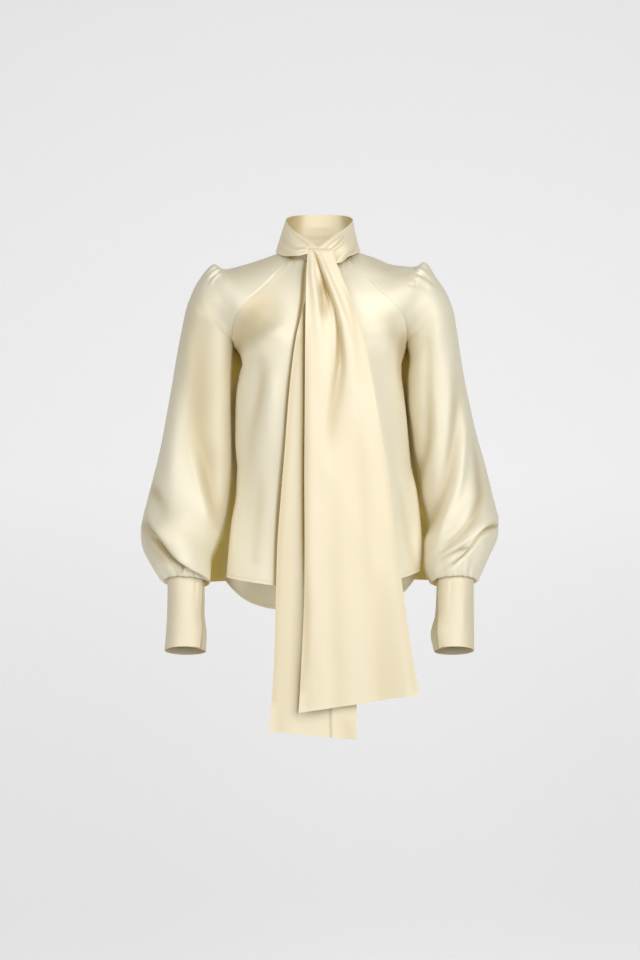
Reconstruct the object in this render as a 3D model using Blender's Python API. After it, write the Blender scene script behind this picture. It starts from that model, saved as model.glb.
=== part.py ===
"""Scarf-neck blouse with bishop sleeves, as nine pieces of cloth in the form they take when worn.

Metres, +Z up. The origin is the middle of the neck, at the height of the side neck seam; the front faces -Y.
Every piece is a sheet: a grid of points with rows down the piece and columns across it, read from a short
table, then folded by its creases and given its thickness. "right" and "left" are the wearer's.
"""

import math

import bpy
import numpy as np

# ---- driving dimensions --------------------------------------------------------------------------
CLOTH = 0.0012              # wall of the single cloth
DOUBLE_CLOTH = 0.0016       # wall of the cuffs and of the scarf, which are cut double
SEAM_SHIFT = 0.0002         # each piece stops this far short of its seam line, so 0.3 to 0.4 mm lie between two
VIEW_DISTANCE = 3.2         # a person's distance from the blouse when the creases below are laid out
VIEW_HEIGHT = -0.405        # the height of that person's eye, level with the waist

BODY_ROWS_PER_STATION = 1   # rows of points for each row of a table
YOKE_STATIONS = 8           # table rows from the neck seam to the underarm point
SLEEVE_COLUMNS = 26
SLEEVE_PLAIN_ROWS = 3       # rings at the sleeve's end that its creases leave alone
PANEL_COLUMNS = 20
CUFF_COLUMNS = 18
NECK_COLUMNS = 34
TAIL_COLUMNS = 16

SILK = (0.87, 0.80, 0.60, 1.0)
SILK_ROUGHNESS = 0.38

# ---- the sleeves: a row for each section, from the neck seam to the cuff -------------------------
# seam_x, seam_z   where the section starts on the front raglan seam, or on the inner side below the underarm
# back_x, back_z   where it ends on the back raglan seam
# top_x, top_z     its highest or outermost point
# mid_y            the arm's middle, front to back
# front, back      how far the section reaches before and behind mid_y
# open_front, open_back   degrees between the section's start or end and its innermost point
# tuck   how far the cloth bulges towards the body just behind its innermost point
SLEEVE_COLUMNS_NAMED = ("seam_x", "seam_z", "back_x", "back_z", "top_x", "top_z", "mid_y",
                        "front", "back", "open_front", "open_back", "tuck")
RIGHT_SLEEVE = (
    (-0.050, -0.015, -0.045, 0.018, -0.072, 0.003, 0.004, 0.080, 0.072, 132, 130, 0),
    (-0.076, -0.040, -0.068, 0.000, -0.105, -0.009, 0.004, 0.102, 0.090, 125, 125, 0),
    (-0.102, -0.068, -0.092, -0.030, -0.138, -0.019, 0.004, 0.108, 0.100, 118, 118, 0),
    (-0.121, -0.086, -0.112, -0.055, -0.172, -0.027, 0.004, 0.106, 0.100, 110, 110, 0),
    (-0.140, -0.107, -0.130, -0.082, -0.188, -0.017, 0.003, 0.094, 0.093, 98, 98, 0),
    (-0.150, -0.122, -0.143, -0.108, -0.206, -0.031, 0.002, 0.079, 0.079, 80, 80, 0),
    (-0.154, -0.141, -0.150, -0.135, -0.225, -0.061, 0.000, 0.068, 0.068, 46, 48, 0),
    (-0.155, -0.155, -0.153, -0.152, -0.232, -0.078, -0.001, 0.066, 0.067, 24, 25, 0),
    (-0.155, -0.164, -0.155, -0.164, -0.239, -0.095, -0.002, 0.064, 0.066, 0, 0, 0),
    (-0.157, -0.191, -0.157, -0.191, -0.247, -0.130, -0.001, 0.062, 0.065, 0, 0, 0.022),
    (-0.159, -0.230, -0.159, -0.230, -0.256, -0.178, 0.001, 0.061, 0.066, 0, 0, 0.015),
    (-0.159, -0.275, -0.159, -0.275, -0.265, -0.235, 0.004, 0.061, 0.069, 0, 0, 0.013),
    (-0.158, -0.320, -0.158, -0.320, -0.275, -0.293, 0.006, 0.063, 0.072, 0, 0, 0.013),
    (-0.157, -0.365, -0.157, -0.365, -0.287, -0.352, 0.006, 0.066, 0.075, 0, 0, 0.013),
    (-0.159, -0.412, -0.159, -0.412, -0.301, -0.408, 0.002, 0.070, 0.077, 0, 0, 0.014),
    (-0.163, -0.452, -0.163, -0.452, -0.312, -0.453, -0.006, 0.074, 0.077, 0, 0, 0.015),
    (-0.171, -0.494, -0.171, -0.494, -0.319, -0.493, -0.020, 0.077, 0.072, 0, 0, 0.010),
    (-0.181, -0.524, -0.181, -0.524, -0.315, -0.524, -0.033, 0.072, 0.062, 0, 0, 0),
    (-0.191, -0.549, -0.191, -0.549, -0.303, -0.548, -0.044, 0.060, 0.051, 0, 0, 0),
    (-0.194, -0.573, -0.194, -0.573, -0.289, -0.570, -0.053, 0.049, 0.043, 0, 0, 0),
    (-0.195, -0.587, -0.195, -0.587, -0.276, -0.584, -0.059, 0.041, 0.039, 0, 0, 0),
    (-0.200, -0.579, -0.200, -0.579, -0.271, -0.579, -0.060, 0.0355, 0.0345, 0, 0, 0),
    (-0.203, -0.580, -0.203, -0.580, -0.2675, -0.580, -0.060, 0.0315, 0.0315, 0, 0, 0),
)
LEFT_SLEEVE = (
    (0.050, -0.015, 0.045, 0.018, 0.072, 0.003, 0.004, 0.080, 0.072, 132, 130, 0),
    (0.076, -0.040, 0.068, 0.000, 0.102, -0.007, 0.004, 0.102, 0.090, 125, 125, 0),
    (0.102, -0.068, 0.092, -0.030, 0.131, -0.019, 0.004, 0.108, 0.100, 118, 118, 0),
    (0.121, -0.086, 0.112, -0.055, 0.172, -0.022, 0.004, 0.106, 0.100, 110, 110, 0),
    (0.140, -0.107, 0.130, -0.082, 0.189, -0.014, 0.003, 0.094, 0.093, 98, 98, 0),
    (0.150, -0.122, 0.143, -0.108, 0.2058, -0.036, 0.002, 0.079, 0.079, 80, 80, 0),
    (0.155, -0.141, 0.150, -0.135, 0.2278, -0.068, 0.000, 0.068, 0.068, 46, 48, 0),
    (0.156, -0.155, 0.154, -0.152, 0.2348, -0.086, -0.001, 0.066, 0.067, 24, 25, 0),
    (0.157, -0.164, 0.157, -0.164, 0.2408, -0.104, -0.002, 0.064, 0.066, 0, 0, 0),
    (0.161, -0.191, 0.161, -0.191, 0.2478, -0.141, -0.001, 0.062, 0.065, 0, 0, 0.020),
    (0.158, -0.228, 0.158, -0.228, 0.2548, -0.190, 0.001, 0.061, 0.066, 0, 0, 0.015),
    (0.159, -0.268, 0.159, -0.268, 0.2648, -0.245, 0.004, 0.061, 0.069, 0, 0, 0.014),
    (0.164, -0.310, 0.164, -0.310, 0.2758, -0.297, 0.006, 0.063, 0.072, 0, 0, 0.014),
    (0.169, -0.352, 0.169, -0.352, 0.2898, -0.348, 0.006, 0.066, 0.074, 0, 0, 0.014),
    (0.178, -0.396, 0.178, -0.396, 0.3018, -0.394, 0.001, 0.069, 0.075, 0, 0, 0.013),
    (0.182, -0.432, 0.182, -0.432, 0.3118, -0.439, -0.006, 0.073, 0.074, 0, 0, 0.013),
    (0.189, -0.462, 0.189, -0.462, 0.3198, -0.478, -0.016, 0.075, 0.070, 0, 0, 0.006),
    (0.193, -0.489, 0.193, -0.489, 0.3178, -0.506, -0.026, 0.073, 0.064, 0, 0, 0.002),
    (0.184, -0.520, 0.184, -0.520, 0.3058, -0.532, -0.038, 0.066, 0.056, 0, 0, 0),
    (0.183, -0.553, 0.183, -0.553, 0.2898, -0.563, -0.049, 0.054, 0.045, 0, 0, 0),
    (0.197, -0.586, 0.197, -0.586, 0.2778, -0.585, -0.058, 0.041, 0.039, 0, 0, 0),
    (0.204, -0.579, 0.204, -0.579, 0.275, -0.579, -0.060, 0.0355, 0.0345, 0, 0, 0),
    (0.207, -0.580, 0.207, -0.580, 0.2715, -0.580, -0.060, 0.0315, 0.0315, 0, 0, 0),
)

# ---- the body: the panels' middles beside the yoke, a row for each sleeve station ----------------
# front_y, front_z   the front's middle at that row;  back_y, back_z  the back's
# round              0 where the panel is flat at its seams, 1 where it turns into the side of a full ellipse
YOKE = (
    (-0.076, -0.018, 0.062, 0.022, 0.0),
    (-0.096, -0.044, 0.081, 0.006, 0.0),
    (-0.109, -0.070, 0.093, -0.024, 0.0),
    (-0.115, -0.088, 0.099, -0.052, 0.0),
    (-0.120, -0.108, 0.103, -0.081, 0.15),
    (-0.123, -0.124, 0.104, -0.108, 0.4),
    (-0.126, -0.142, 0.104, -0.136, 0.75),
    (-0.127, -0.154, 0.103, -0.152, 0.9),
    (-0.128, -0.165, 0.102, -0.165, 1.0),
)
# The side seams below the underarm: height, then x of the right and the left seam, and the middles' y.
SIDES = (
    (-0.182, -0.142, 0.152, -0.129, 0.100),
    (-0.199, -0.138, 0.147, -0.129, 0.098),
    (-0.218, -0.143, 0.147, -0.128, 0.095),
    (-0.246, -0.149, 0.151, -0.127, 0.092),
    (-0.288, -0.151, 0.156, -0.125, 0.089),
    (-0.336, -0.151, 0.160, -0.123, 0.087),
    (-0.383, -0.147, 0.164, -0.121, 0.089),
)
# Below the slits each panel has its own edges: x, y, z of the right and of the left edge, y and z of the middle.
FRONT_FLAP = (
    (-0.149, -0.022, -0.430, 0.173, -0.018, -0.424, -0.122, -0.431),
    (-0.157, -0.038, -0.482, 0.178, -0.032, -0.474, -0.124, -0.484),
    (-0.162, -0.048, -0.532, 0.181, -0.044, -0.522, -0.127, -0.538),
    (-0.1645, -0.055, -0.577, 0.179, -0.052, -0.566, -0.131, -0.592),
)
BACK_FLAP = (
    (-0.1495, 0.034, -0.434, 0.174, 0.030, -0.430, 0.095, -0.441),
    (-0.179, 0.034, -0.484, 0.200, 0.033, -0.482, 0.105, -0.510),
    (-0.197, 0.037, -0.540, 0.204, 0.037, -0.536, 0.117, -0.579),
    (-0.204, 0.034, -0.591, 0.206, 0.036, -0.588, 0.129, -0.645),
)
TUCK_ARC = 50               # degrees of a sleeve's ring that its bulge towards the body takes up
SLIT_TURN = 0.55            # how round a flap stays at its free edge
HEM_START, HEM_END = 0.30, 0.85   # the shirt-tail hem climbs between these shares of the half width

# ---- the cuffs -----------------------------------------------------------------------------------
# height, inner x, outer x, middle y, half depth, then the upper layer's edge in degrees round from the inner
# side towards the front, and how far the under layer lies inside it there
RIGHT_CUFF = (
    (-0.5810, -0.2025, -0.2680, -0.060, 0.032, 28, 0.0026),
    (-0.6100, -0.2015, -0.2670, -0.069, 0.032, 30, 0.0028),
    (-0.6400, -0.2010, -0.2670, -0.078, 0.032, 34, 0.0034),
    (-0.6740, -0.1965, -0.2680, -0.088, 0.033, 40, 0.0050),
    (-0.7030, -0.1975, -0.2700, -0.096, 0.033, 44, 0.0040),
)
LEFT_CUFF = (
    (-0.5810, 0.2065, 0.2720, -0.060, 0.032, 24, 0.0026),
    (-0.6100, 0.2045, 0.2710, -0.069, 0.032, 26, 0.0028),
    (-0.6400, 0.2020, 0.2705, -0.078, 0.032, 34, 0.0034),
    (-0.6740, 0.1935, 0.2700, -0.088, 0.033, 46, 0.0060),
    (-0.7030, 0.1990, 0.2695, -0.096, 0.033, 40, 0.0040),
)
CUFF_LAP = 22               # degrees that the cuff's layers lie over each other
# The forearm leans forwards, so the rings round it tilt: by nothing at the first height, by LEAN at the second.
LEAN = 0.32
LEAN_FROM, LEAN_TO = -0.42, -0.57

# ---- the scarf round the neck: turn in degrees from the front, towards the wearer's right --------
# turn, then x, y, z of the lower and of the upper edge, and how far the band swells between them
NECK_SCARF = (
    (-14, 0.012, -0.080, -0.020, 0.010, -0.076, -0.008, 0.001),
    (8, -0.010, -0.087, -0.015, -0.001, -0.082, 0.002, 0.001),
    (20, -0.022, -0.087, -0.009, -0.011, -0.078, 0.009, 0.003),
    (32, -0.036, -0.084, -0.012, -0.024, -0.068, 0.020, 0.006),
    (58, -0.060, -0.060, -0.010, -0.046, -0.045, 0.038, 0.004),
    (90, -0.079, -0.004, 0.005, -0.0605, 0.000, 0.063, 0.000),
    (135, -0.060, 0.052, 0.019, -0.047, 0.052, 0.078, 0.003),
    (180, 0.000, 0.074, 0.028, 0.000, 0.070, 0.083, 0.002),
    (225, 0.060, 0.052, 0.021, 0.047, 0.052, 0.078, 0.003),
    (270, 0.073, -0.004, 0.007, 0.060, 0.000, 0.063, -0.001),
    (302, 0.062, -0.062, -0.007, 0.045, -0.046, 0.041, 0.003),
    (326, 0.050, -0.086, -0.014, 0.028, -0.070, 0.027, 0.006),
    (342, 0.036, -0.098, -0.026, 0.012, -0.084, 0.012, 0.003),
    (356, 0.020, -0.100, -0.027, -0.001, -0.091, 0.002, 0.002),
    (368, 0.006, -0.101, -0.024, -0.012, -0.095, -0.007, 0.001),
)
NECK_ROWS = 7

# ---- the scarf's tails: x, y, z of the left and of the right edge --------------------------------
# The front tail is turned over the crossing and falls before it; the back tail hangs from beneath.
FRONT_TAIL = (
    (-0.0185, -0.1085, -0.0150, 0.0200, -0.1085, -0.0160),
    (-0.0195, -0.1070, -0.0085, 0.0215, -0.1070, -0.0085),
    (-0.0200, -0.1100, -0.0028, 0.0220, -0.1100, -0.0030),
    (-0.0200, -0.1150, -0.0065, 0.0230, -0.1150, -0.0070),
    (-0.0210, -0.1190, -0.0200, 0.0260, -0.1195, -0.0200),
    (-0.0225, -0.1270, -0.0450, 0.0360, -0.1270, -0.0450),
    (-0.0235, -0.1385, -0.0970, 0.0560, -0.1380, -0.0970),
    (-0.0245, -0.1475, -0.1570, 0.0760, -0.1450, -0.1570),
    (-0.0250, -0.1530, -0.2300, 0.0900, -0.1490, -0.2300),
    (-0.0255, -0.1555, -0.3100, 0.1030, -0.1500, -0.3050),
    (-0.0260, -0.1550, -0.4000, 0.1180, -0.1480, -0.3900),
    (-0.0255, -0.1570, -0.5000, 0.1290, -0.1490, -0.4900),
    (-0.0260, -0.1580, -0.6000, 0.1420, -0.1510, -0.5850),
    (-0.0300, -0.1600, -0.7000, 0.1550, -0.1520, -0.6800),
    (-0.0355, -0.1620, -0.8030, 0.1720, -0.1500, -0.7740),
)
BACK_TAIL = (
    (-0.012, -0.1085, -0.038, 0.018, -0.1085, -0.040),
    (-0.018, -0.1165, -0.062, 0.023, -0.1165, -0.062),
    (-0.026, -0.1245, -0.097, 0.030, -0.1245, -0.097),
    (-0.034, -0.1305, -0.130, 0.035, -0.1300, -0.130),
    (-0.042, -0.1345, -0.167, 0.040, -0.1335, -0.167),
    (-0.052, -0.1385, -0.250, 0.050, -0.1370, -0.250),
    (-0.059, -0.139, -0.340, 0.056, -0.137, -0.340),
    (-0.066, -0.139, -0.430, 0.060, -0.137, -0.430),
    (-0.073, -0.139, -0.520, 0.062, -0.137, -0.520),
    (-0.0755, -0.140, -0.620, 0.064, -0.138, -0.620),
    (-0.079, -0.141, -0.730, 0.065, -0.139, -0.730),
    (-0.0865, -0.142, -0.838, 0.063, -0.140, -0.852),
)

# ---- creases -------------------------------------------------------------------------------------
# Each one is (pieces, from, path, width before, width after). The path's points are x, z as seen from the front
# (or straight from behind) and the height of the ridge there, below zero for a trough. "before" is the side to
# the left of the path's direction, "after" the side to its right.
CREASES = (
    # right sleeve: the long ridge along its inner side, the hollow beside it, and the drape over the cuff
    ("sleeve_right", "front", ((-0.165, -0.12, 0.0), (-0.172, -0.22, 0.006), (-0.168, -0.36, 0.007),
                               (-0.175, -0.44, 0.0)), 0.014, 0.014),
    ("sleeve_right", "front", ((-0.208, -0.13, 0.0), (-0.212, -0.28, -0.007), (-0.200, -0.39, -0.008),
                               (-0.186, -0.47, 0.0)), 0.016, 0.016),
    ("sleeve_right", "front", ((-0.317, -0.476, 0.004), (-0.280, -0.509, 0.014), (-0.247, -0.543, 0.016),
                               (-0.205, -0.580, 0.005)), 0.034, 0.008),
    ("sleeve_right", "front", ((-0.312, -0.512, -0.004), (-0.288, -0.536, -0.009), (-0.262, -0.560, -0.007)),
     0.012, 0.012),
    # left sleeve: troughs that swing from the shoulder to the cuff, and the fold over the pouch
    ("sleeve_left", "front", ((0.216, -0.10, 0.0), (0.214, -0.22, -0.005), (0.204, -0.33, -0.006),
                              (0.186, -0.42, 0.0)), 0.014, 0.012),
    ("sleeve_left", "front", ((0.252, -0.20, 0.0), (0.246, -0.30, -0.008), (0.232, -0.40, -0.010),
                              (0.200, -0.49, -0.002)), 0.013, 0.013),
    ("sleeve_left", "front", ((0.276, -0.33, 0.0), (0.288, -0.43, -0.006), (0.272, -0.50, -0.008),
                              (0.225, -0.55, -0.002)), 0.012, 0.012),
    ("sleeve_left", "front", ((0.319, -0.482, 0.004), (0.278, -0.502, 0.009), (0.262, -0.530, 0.010),
                              (0.232, -0.560, 0.004)), 0.006, 0.034),
    ("sleeve_right", "back", ((-0.190, -0.14, 0.0), (-0.205, -0.27, -0.008), (-0.200, -0.40, -0.008),
                              (-0.215, -0.50, 0.0)), 0.016, 0.016),
    ("sleeve_right", "back", ((-0.245, -0.22, 0.0), (-0.262, -0.35, -0.007), (-0.262, -0.46, -0.008),
                              (-0.250, -0.54, 0.0)), 0.014, 0.014),
    ("sleeve_left", "back", ((0.195, -0.14, 0.0), (0.212, -0.28, -0.008), (0.222, -0.41, -0.008),
                             (0.228, -0.51, 0.0)), 0.016, 0.016),
    ("sleeve_left", "back", ((0.240, -0.20, 0.0), (0.262, -0.33, -0.007), (0.278, -0.44, -0.008),
                             (0.262, -0.54, 0.0)), 0.014, 0.014),
    # front: the hollow above the bust and the one below it on the right, the long fold to the hem on the left
    ("front", "front", ((-0.062, -0.013, 0.0), (-0.104, -0.106, -0.007), (-0.126, -0.146, -0.005),
                        (-0.137, -0.170, 0.0)), 0.028, 0.020),
    ("front", "front", ((-0.105, -0.20, 0.0), (-0.122, -0.31, -0.006), (-0.128, -0.40, -0.004),
                        (-0.126, -0.50, 0.0)), 0.016, 0.016),
    ("front", "front", ((0.118, -0.20, 0.0), (0.124, -0.32, -0.005), (0.146, -0.44, -0.005),
                        (0.170, -0.57, -0.003)), 0.014, 0.014),
    # back: three soft folds from the shoulder blades to the hem
    ("back", "back", ((-0.070, -0.20, 0.0), (-0.078, -0.36, -0.008), (-0.096, -0.60, -0.010)), 0.020, 0.020),
    ("back", "back", ((0.012, -0.26, 0.0), (0.010, -0.42, -0.007), (0.016, -0.66, -0.012)), 0.022, 0.022),
    ("back", "back", ((0.088, -0.20, 0.0), (0.094, -0.38, -0.008), (0.112, -0.60, -0.010)), 0.020, 0.020),
    # front tail: the rolled strand, the deep groove beside it, and the layer that lies over it
    ("scarf_tail_front", "front", ((-0.015, 0.010, 0.001), (-0.013, -0.027, 0.005), (-0.008, -0.067, 0.006),
                                   (-0.003, -0.117, 0.005), (0.001, -0.189, 0.003), (0.001, -0.260, 0.0)),
     0.010, 0.010),
    ("scarf_tail_front", "front", ((-0.006, -0.002, -0.002), (0.003, -0.029, -0.007), (0.016, -0.066, -0.009),
                                   (0.028, -0.105, -0.009), (0.036, -0.144, -0.009), (0.037, -0.193, -0.008),
                                   (0.030, -0.250, -0.005), (0.014, -0.350, 0.0)), 0.006, 0.008),
    ("scarf_tail_front", "front", ((0.000, 0.005, 0.001), (0.019, -0.045, 0.006), (0.031, -0.081, 0.007),
                                   (0.044, -0.126, 0.006), (0.053, -0.189, 0.003), (0.054, -0.260, 0.0)),
     0.010, 0.010),
    ("scarf_tail_front", "front", ((0.112, -0.560, 0.0), (0.118, -0.680, -0.007), (0.122, -0.790, -0.009)),
     0.018, 0.018),
    ("scarf_tail_back", "front", ((0.018, -0.60, 0.0), (0.020, -0.74, 0.004), (0.021, -0.88, 0.006)),
     0.022, 0.010),
)


def between(rows, places):
    """The rows of a table read at fractional row numbers, along smooth curves that never overshoot."""
    rows = np.asarray(rows, float)
    places = np.clip(np.asarray(places, float), 0, len(rows) - 1)
    step = np.diff(rows, axis=0)
    product = step[:-1] * step[1:]
    total = np.where(product > 0, step[:-1] + step[1:], 1.0)
    slope = np.zeros_like(rows)
    slope[1:-1] = np.where(product > 0, 2 * product / total, 0.0)
    slope[0], slope[-1] = step[0], step[-1]
    index = np.minimum(places.astype(int), len(rows) - 2)
    part = (places - index)[:, None]
    low, high = rows[index], rows[index + 1]
    rise, fall = slope[index], slope[index + 1]
    bend = 3 * (high - low) - 2 * rise - fall
    twist = 2 * (low - high) + rise + fall
    return low + part * (rise + part * (bend + part * twist))


def smooth(value, start, end):
    """0 before start, 1 after end, and a soft step between them."""
    part = np.clip((value - start) / (end - start), 0, 1)
    return part * part * (3 - 2 * part)


def unit(vectors):
    """The same directions with length one."""
    return vectors / np.maximum(np.linalg.norm(vectors, axis=-1, keepdims=True), 1e-12)


# ---- sheets --------------------------------------------------------------------------------------
class Sheet:
    """A piece of cloth: a grid of points, rows down and columns across. From the row closed_from on, the last
    column is the first one again, so the sheet is a tube there. Creases leave its last plain_rows rows alone."""

    def __init__(self, name, points, closed_from=None, plain_rows=0):
        self.name = name
        self.plain_rows = plain_rows
        self.grid = np.array(points)
        self.closed_from = self.grid.shape[0] if closed_from is None else closed_from
        rows, columns = self.grid.shape[:2]
        self.index = np.arange(rows * columns).reshape(rows, columns)
        self.index[self.closed_from:, -1] = self.index[self.closed_from:, 0]
        a, b = self.index[:-1, :-1], self.index[:-1, 1:]
        c, d = self.index[1:, 1:], self.index[1:, :-1]
        self.faces = np.stack([a, b, c, a, c, d], axis=-1).reshape(-1, 3)

    def keys(self):
        """The points' places, rounded: what two pieces have in common is their seam."""
        return [tuple(p) for p in np.round(self.grid.reshape(-1, 3), 6)]

    def point_normals(self):
        """The faces' normals added up at each point, each with the weight of its angle there."""
        sums = np.zeros((self.grid.shape[0] * self.grid.shape[1], 3))
        corners = self.grid.reshape(-1, 3)[self.faces]
        normals = unit(np.cross(corners[:, 1] - corners[:, 0], corners[:, 2] - corners[:, 0]))
        for corner in range(3):
            one = unit(corners[:, (corner + 1) % 3] - corners[:, corner])
            other = unit(corners[:, (corner + 2) % 3] - corners[:, corner])
            angle = np.arccos(np.clip((one * other).sum(1, keepdims=True), -1, 1))
            np.add.at(sums, self.faces[:, corner], normals * angle)
        return sums[self.index].reshape(-1, 3)

    def inward(self):
        """At the first and last column, the way into the sheet; under the arm, the way down the sleeve."""
        ways = np.zeros_like(self.grid)
        ways[:, 0] = self.grid[:, 1] - self.grid[:, 0]
        ways[:, -1] = self.grid[:, -2] - self.grid[:, -1]
        if self.closed_from < len(self.grid):
            ways[self.closed_from, (0, -1)] = self.grid[self.closed_from + 1, 0] - self.grid[self.closed_from, 0]
        else:
            along = unit(np.gradient(self.grid, axis=0))
            ways -= along * (ways * along).sum(-1, keepdims=True)
        return ways.reshape(-1, 3)


def shared(sheets, values, mean=False):
    """Adds up (or averages) the values of points where pieces meet, so that a seam is one line for both."""
    totals, counts = {}, {}
    for sheet in sheets:
        seen = set()
        for number, key in zip(sheet.index.reshape(-1), sheet.keys()):
            if number in seen:
                continue
            seen.add(number)
            totals[key] = totals.get(key, 0) + values[sheet.name][number]
            counts[key] = counts.get(key, 0) + 1
    result = {}
    for sheet in sheets:
        rows = [totals[k] / (counts[k] if mean else 1) for k in sheet.keys()]
        result[sheet.name] = np.array(rows)
    return result, counts


def seam_normals(sheets):
    """One unit normal for each point of each sheet, the same on both sides of a seam. At the underarm point,
    where the body and the sleeve turn away from each other, each of the two has its own."""
    own = {s.name: unit(s.point_normals()) for s in sheets}
    sums, counts = shared(sheets, own)
    for side_by_side in (True, False):
        group = [s for s in sheets if (s.closed_from < len(s.grid)) == side_by_side]
        alone, _ = shared(group, own)
        for sheet in group:
            for number, key in enumerate(sheet.keys()):
                if counts[key] >= 3:
                    sums[sheet.name][number] = alone[sheet.name][number]
    return {name: unit(v) for name, v in sums.items()}, counts


def seen(points, side):
    """Where points appear on the plane through the neck, to an eye in front; from behind, their own x and z."""
    flat = points[..., (0, 2)].copy()
    if side == "front":
        near = (VIEW_DISTANCE + points[..., 1:2]) / VIEW_DISTANCE
        flat = (flat - (0, VIEW_HEIGHT)) / near + (0, VIEW_HEIGHT)
    return flat


def crease_height(points, path, before, after):
    """How far one crease lifts each point: its own height where the point is nearest, fading with distance."""
    path = np.asarray(path, float)
    nearest = np.full(len(points), np.inf)
    lift = np.zeros(len(points))
    for a, b in zip(path[:-1], path[1:]):
        along = b[:2] - a[:2]
        length = np.dot(along, along)
        part = np.clip(((points - a[:2]) @ along) / length, 0, 1)
        apart = points - (a[:2] + part[:, None] * along)
        distance = np.linalg.norm(apart, axis=1)
        on_left = along[0] * apart[:, 1] - along[1] * apart[:, 0] > 0
        width = np.where(on_left, before, after)
        height = (a[2] + part * (b[2] - a[2])) * np.exp(-(distance / width) ** 2)
        lift = np.where(distance < nearest, height, lift)
        nearest = np.minimum(nearest, distance)
    return lift


def folded(sheets):
    """The sheets with their creases, moved along the normals they share."""
    normals, counts = seam_normals(sheets)
    lifts = {}
    for sheet in sheets:
        flat, out = sheet.grid.reshape(-1, 3), normals[sheet.name]
        lift = np.zeros((len(flat), 1))
        for name, side, path, before, after in CREASES:
            if name == sheet.name:
                facing = -out[:, 1] if side == "front" else out[:, 1]
                mask = smooth(facing, -0.05, 0.35)
                lift[:, 0] += mask * crease_height(seen(flat, side), path, before, after)
        lift[len(flat) - sheet.plain_rows * sheet.grid.shape[1]:] = 0
        lift[[counts[k] > 2 for k in sheet.keys()]] = 0
        lifts[sheet.name] = lift
    lifts, _ = shared(sheets, lifts, mean=True)
    result = []
    for sheet in sheets:
        flat = sheet.grid.reshape(-1, 3) + normals[sheet.name] * lifts[sheet.name]
        closed = sheet.closed_from if sheet.closed_from < sheet.grid.shape[0] else None
        result.append(Sheet(sheet.name, flat.reshape(sheet.grid.shape), closed, sheet.plain_rows))
    return result


def wall(sheet, normals, counts, thickness):
    """Points and faces of the closed wall round a sheet. Points on a seam first draw back a little from it."""
    flat = sheet.grid.reshape(-1, 3)
    inward = sheet.inward()
    inward -= normals * (inward * normals).sum(1, keepdims=True)
    pieces = np.array([counts[k] for k in sheet.keys()])[:, None]
    flat = flat + np.where(pieces > 1, unit(inward) * SEAM_SHIFT, 0) - np.where(pieces > 2, normals * thickness, 0)
    outer, inner = flat + normals * thickness / 2, flat - normals * thickness / 2
    used = np.unique(sheet.index)
    place = np.zeros(len(flat), int)
    place[used] = np.arange(len(used))
    faces_out = place[sheet.faces]
    faces_in = faces_out[:, ::-1] + len(used)
    edges = {}
    for face in faces_out:
        for a, b in zip(face, np.roll(face, -1)):
            edges[(a, b)] = True
    rim = [(b, a, a + len(used), b + len(used)) for a, b in edges if (b, a) not in edges]
    points = np.vstack([outer[used], inner[used]])
    return points, [tuple(int(i) for i in f) for f in list(faces_out) + list(faces_in) + rim]


# ---- the pieces ----------------------------------------------------------------------------------
def row_places(first, last):
    """Table places from one row to another, with the same number of rows between each two."""
    return np.linspace(first, last, (last - first) * BODY_ROWS_PER_STATION + 1)


def leaning(height, behind):
    """The height of a ring's point that lies so far behind the ring's middle, where the forearm leans."""
    return height - LEAN * smooth(-height, -LEAN_FROM, -LEAN_TO) * behind


def sleeve(name, table):
    """A raglan sleeve: open arcs over the shoulder as far as the underarm point, then closed rings."""
    rings = between(table, row_places(0, len(table) - 1))
    turns = np.linspace(0, 1, SLEEVE_COLUMNS + 1)
    points = np.zeros((len(rings), len(turns), 3))
    inwards = 1 if name == "sleeve_right" else -1
    for row, ring in enumerate(rings):
        r = dict(zip(SLEEVE_COLUMNS_NAMED, ring))
        top = np.array((r["top_x"], r["top_z"]))
        for column, turn in enumerate(turns):
            ahead = turn <= 0.5
            start = np.array((r["seam_x"], r["seam_z"]) if ahead else (r["back_x"], r["back_z"]))
            opening = math.radians(r["open_front"] if ahead else r["open_back"])
            angle = opening + (math.pi - opening) * (2 * turn if ahead else 2 * (1 - turn))
            reach = (top - start) / (1 + math.cos(opening))
            x, z = top - reach - reach * math.cos(angle)
            behind = (-r["front"] if ahead else r["back"]) * math.sin(angle)
            if not ahead:
                x += inwards * r["tuck"] * math.sin(math.pi * min(math.degrees(angle) / TUCK_ARC, 1)) ** 2
            points[row, column] = (x, r["mid_y"] + behind, leaning(z, behind))
    tube_from = YOKE_STATIONS * BODY_ROWS_PER_STATION
    points[tube_from:, -1] = points[tube_from:, 0]
    if name == "sleeve_left":
        points = points[:, ::-1]
    return Sheet(name, points, tube_from, SLEEVE_PLAIN_ROWS)


def panel_row(first, last, middle, roundness, hem=0.0):
    """One row of a front or back panel, from its first edge to its last through the middle."""
    even = np.linspace(-1, 1, PANEL_COLUMNS + 1)
    share = (1 - roundness) * even + roundness * np.sin(even * math.pi / 2)
    part = ((share + 1) / 2)[:, None]
    straight = first + (last - first) * part
    away = np.abs(share)
    flat, full = away ** 2.2, 1 - np.sqrt(np.maximum(1 - away ** 2.2, 0))
    turn = (1 - roundness) * flat + roundness * full
    climb = (1 - hem) * away ** 2 + hem * np.clip((away - HEM_START) / (HEM_END - HEM_START), 0, 1) ** 3
    row = straight.copy()
    row[:, 1] = middle[0] + (straight[:, 1] - middle[0]) * turn
    row[:, 2] = middle[1] + (straight[:, 2] - middle[1]) * climb
    return row


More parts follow.
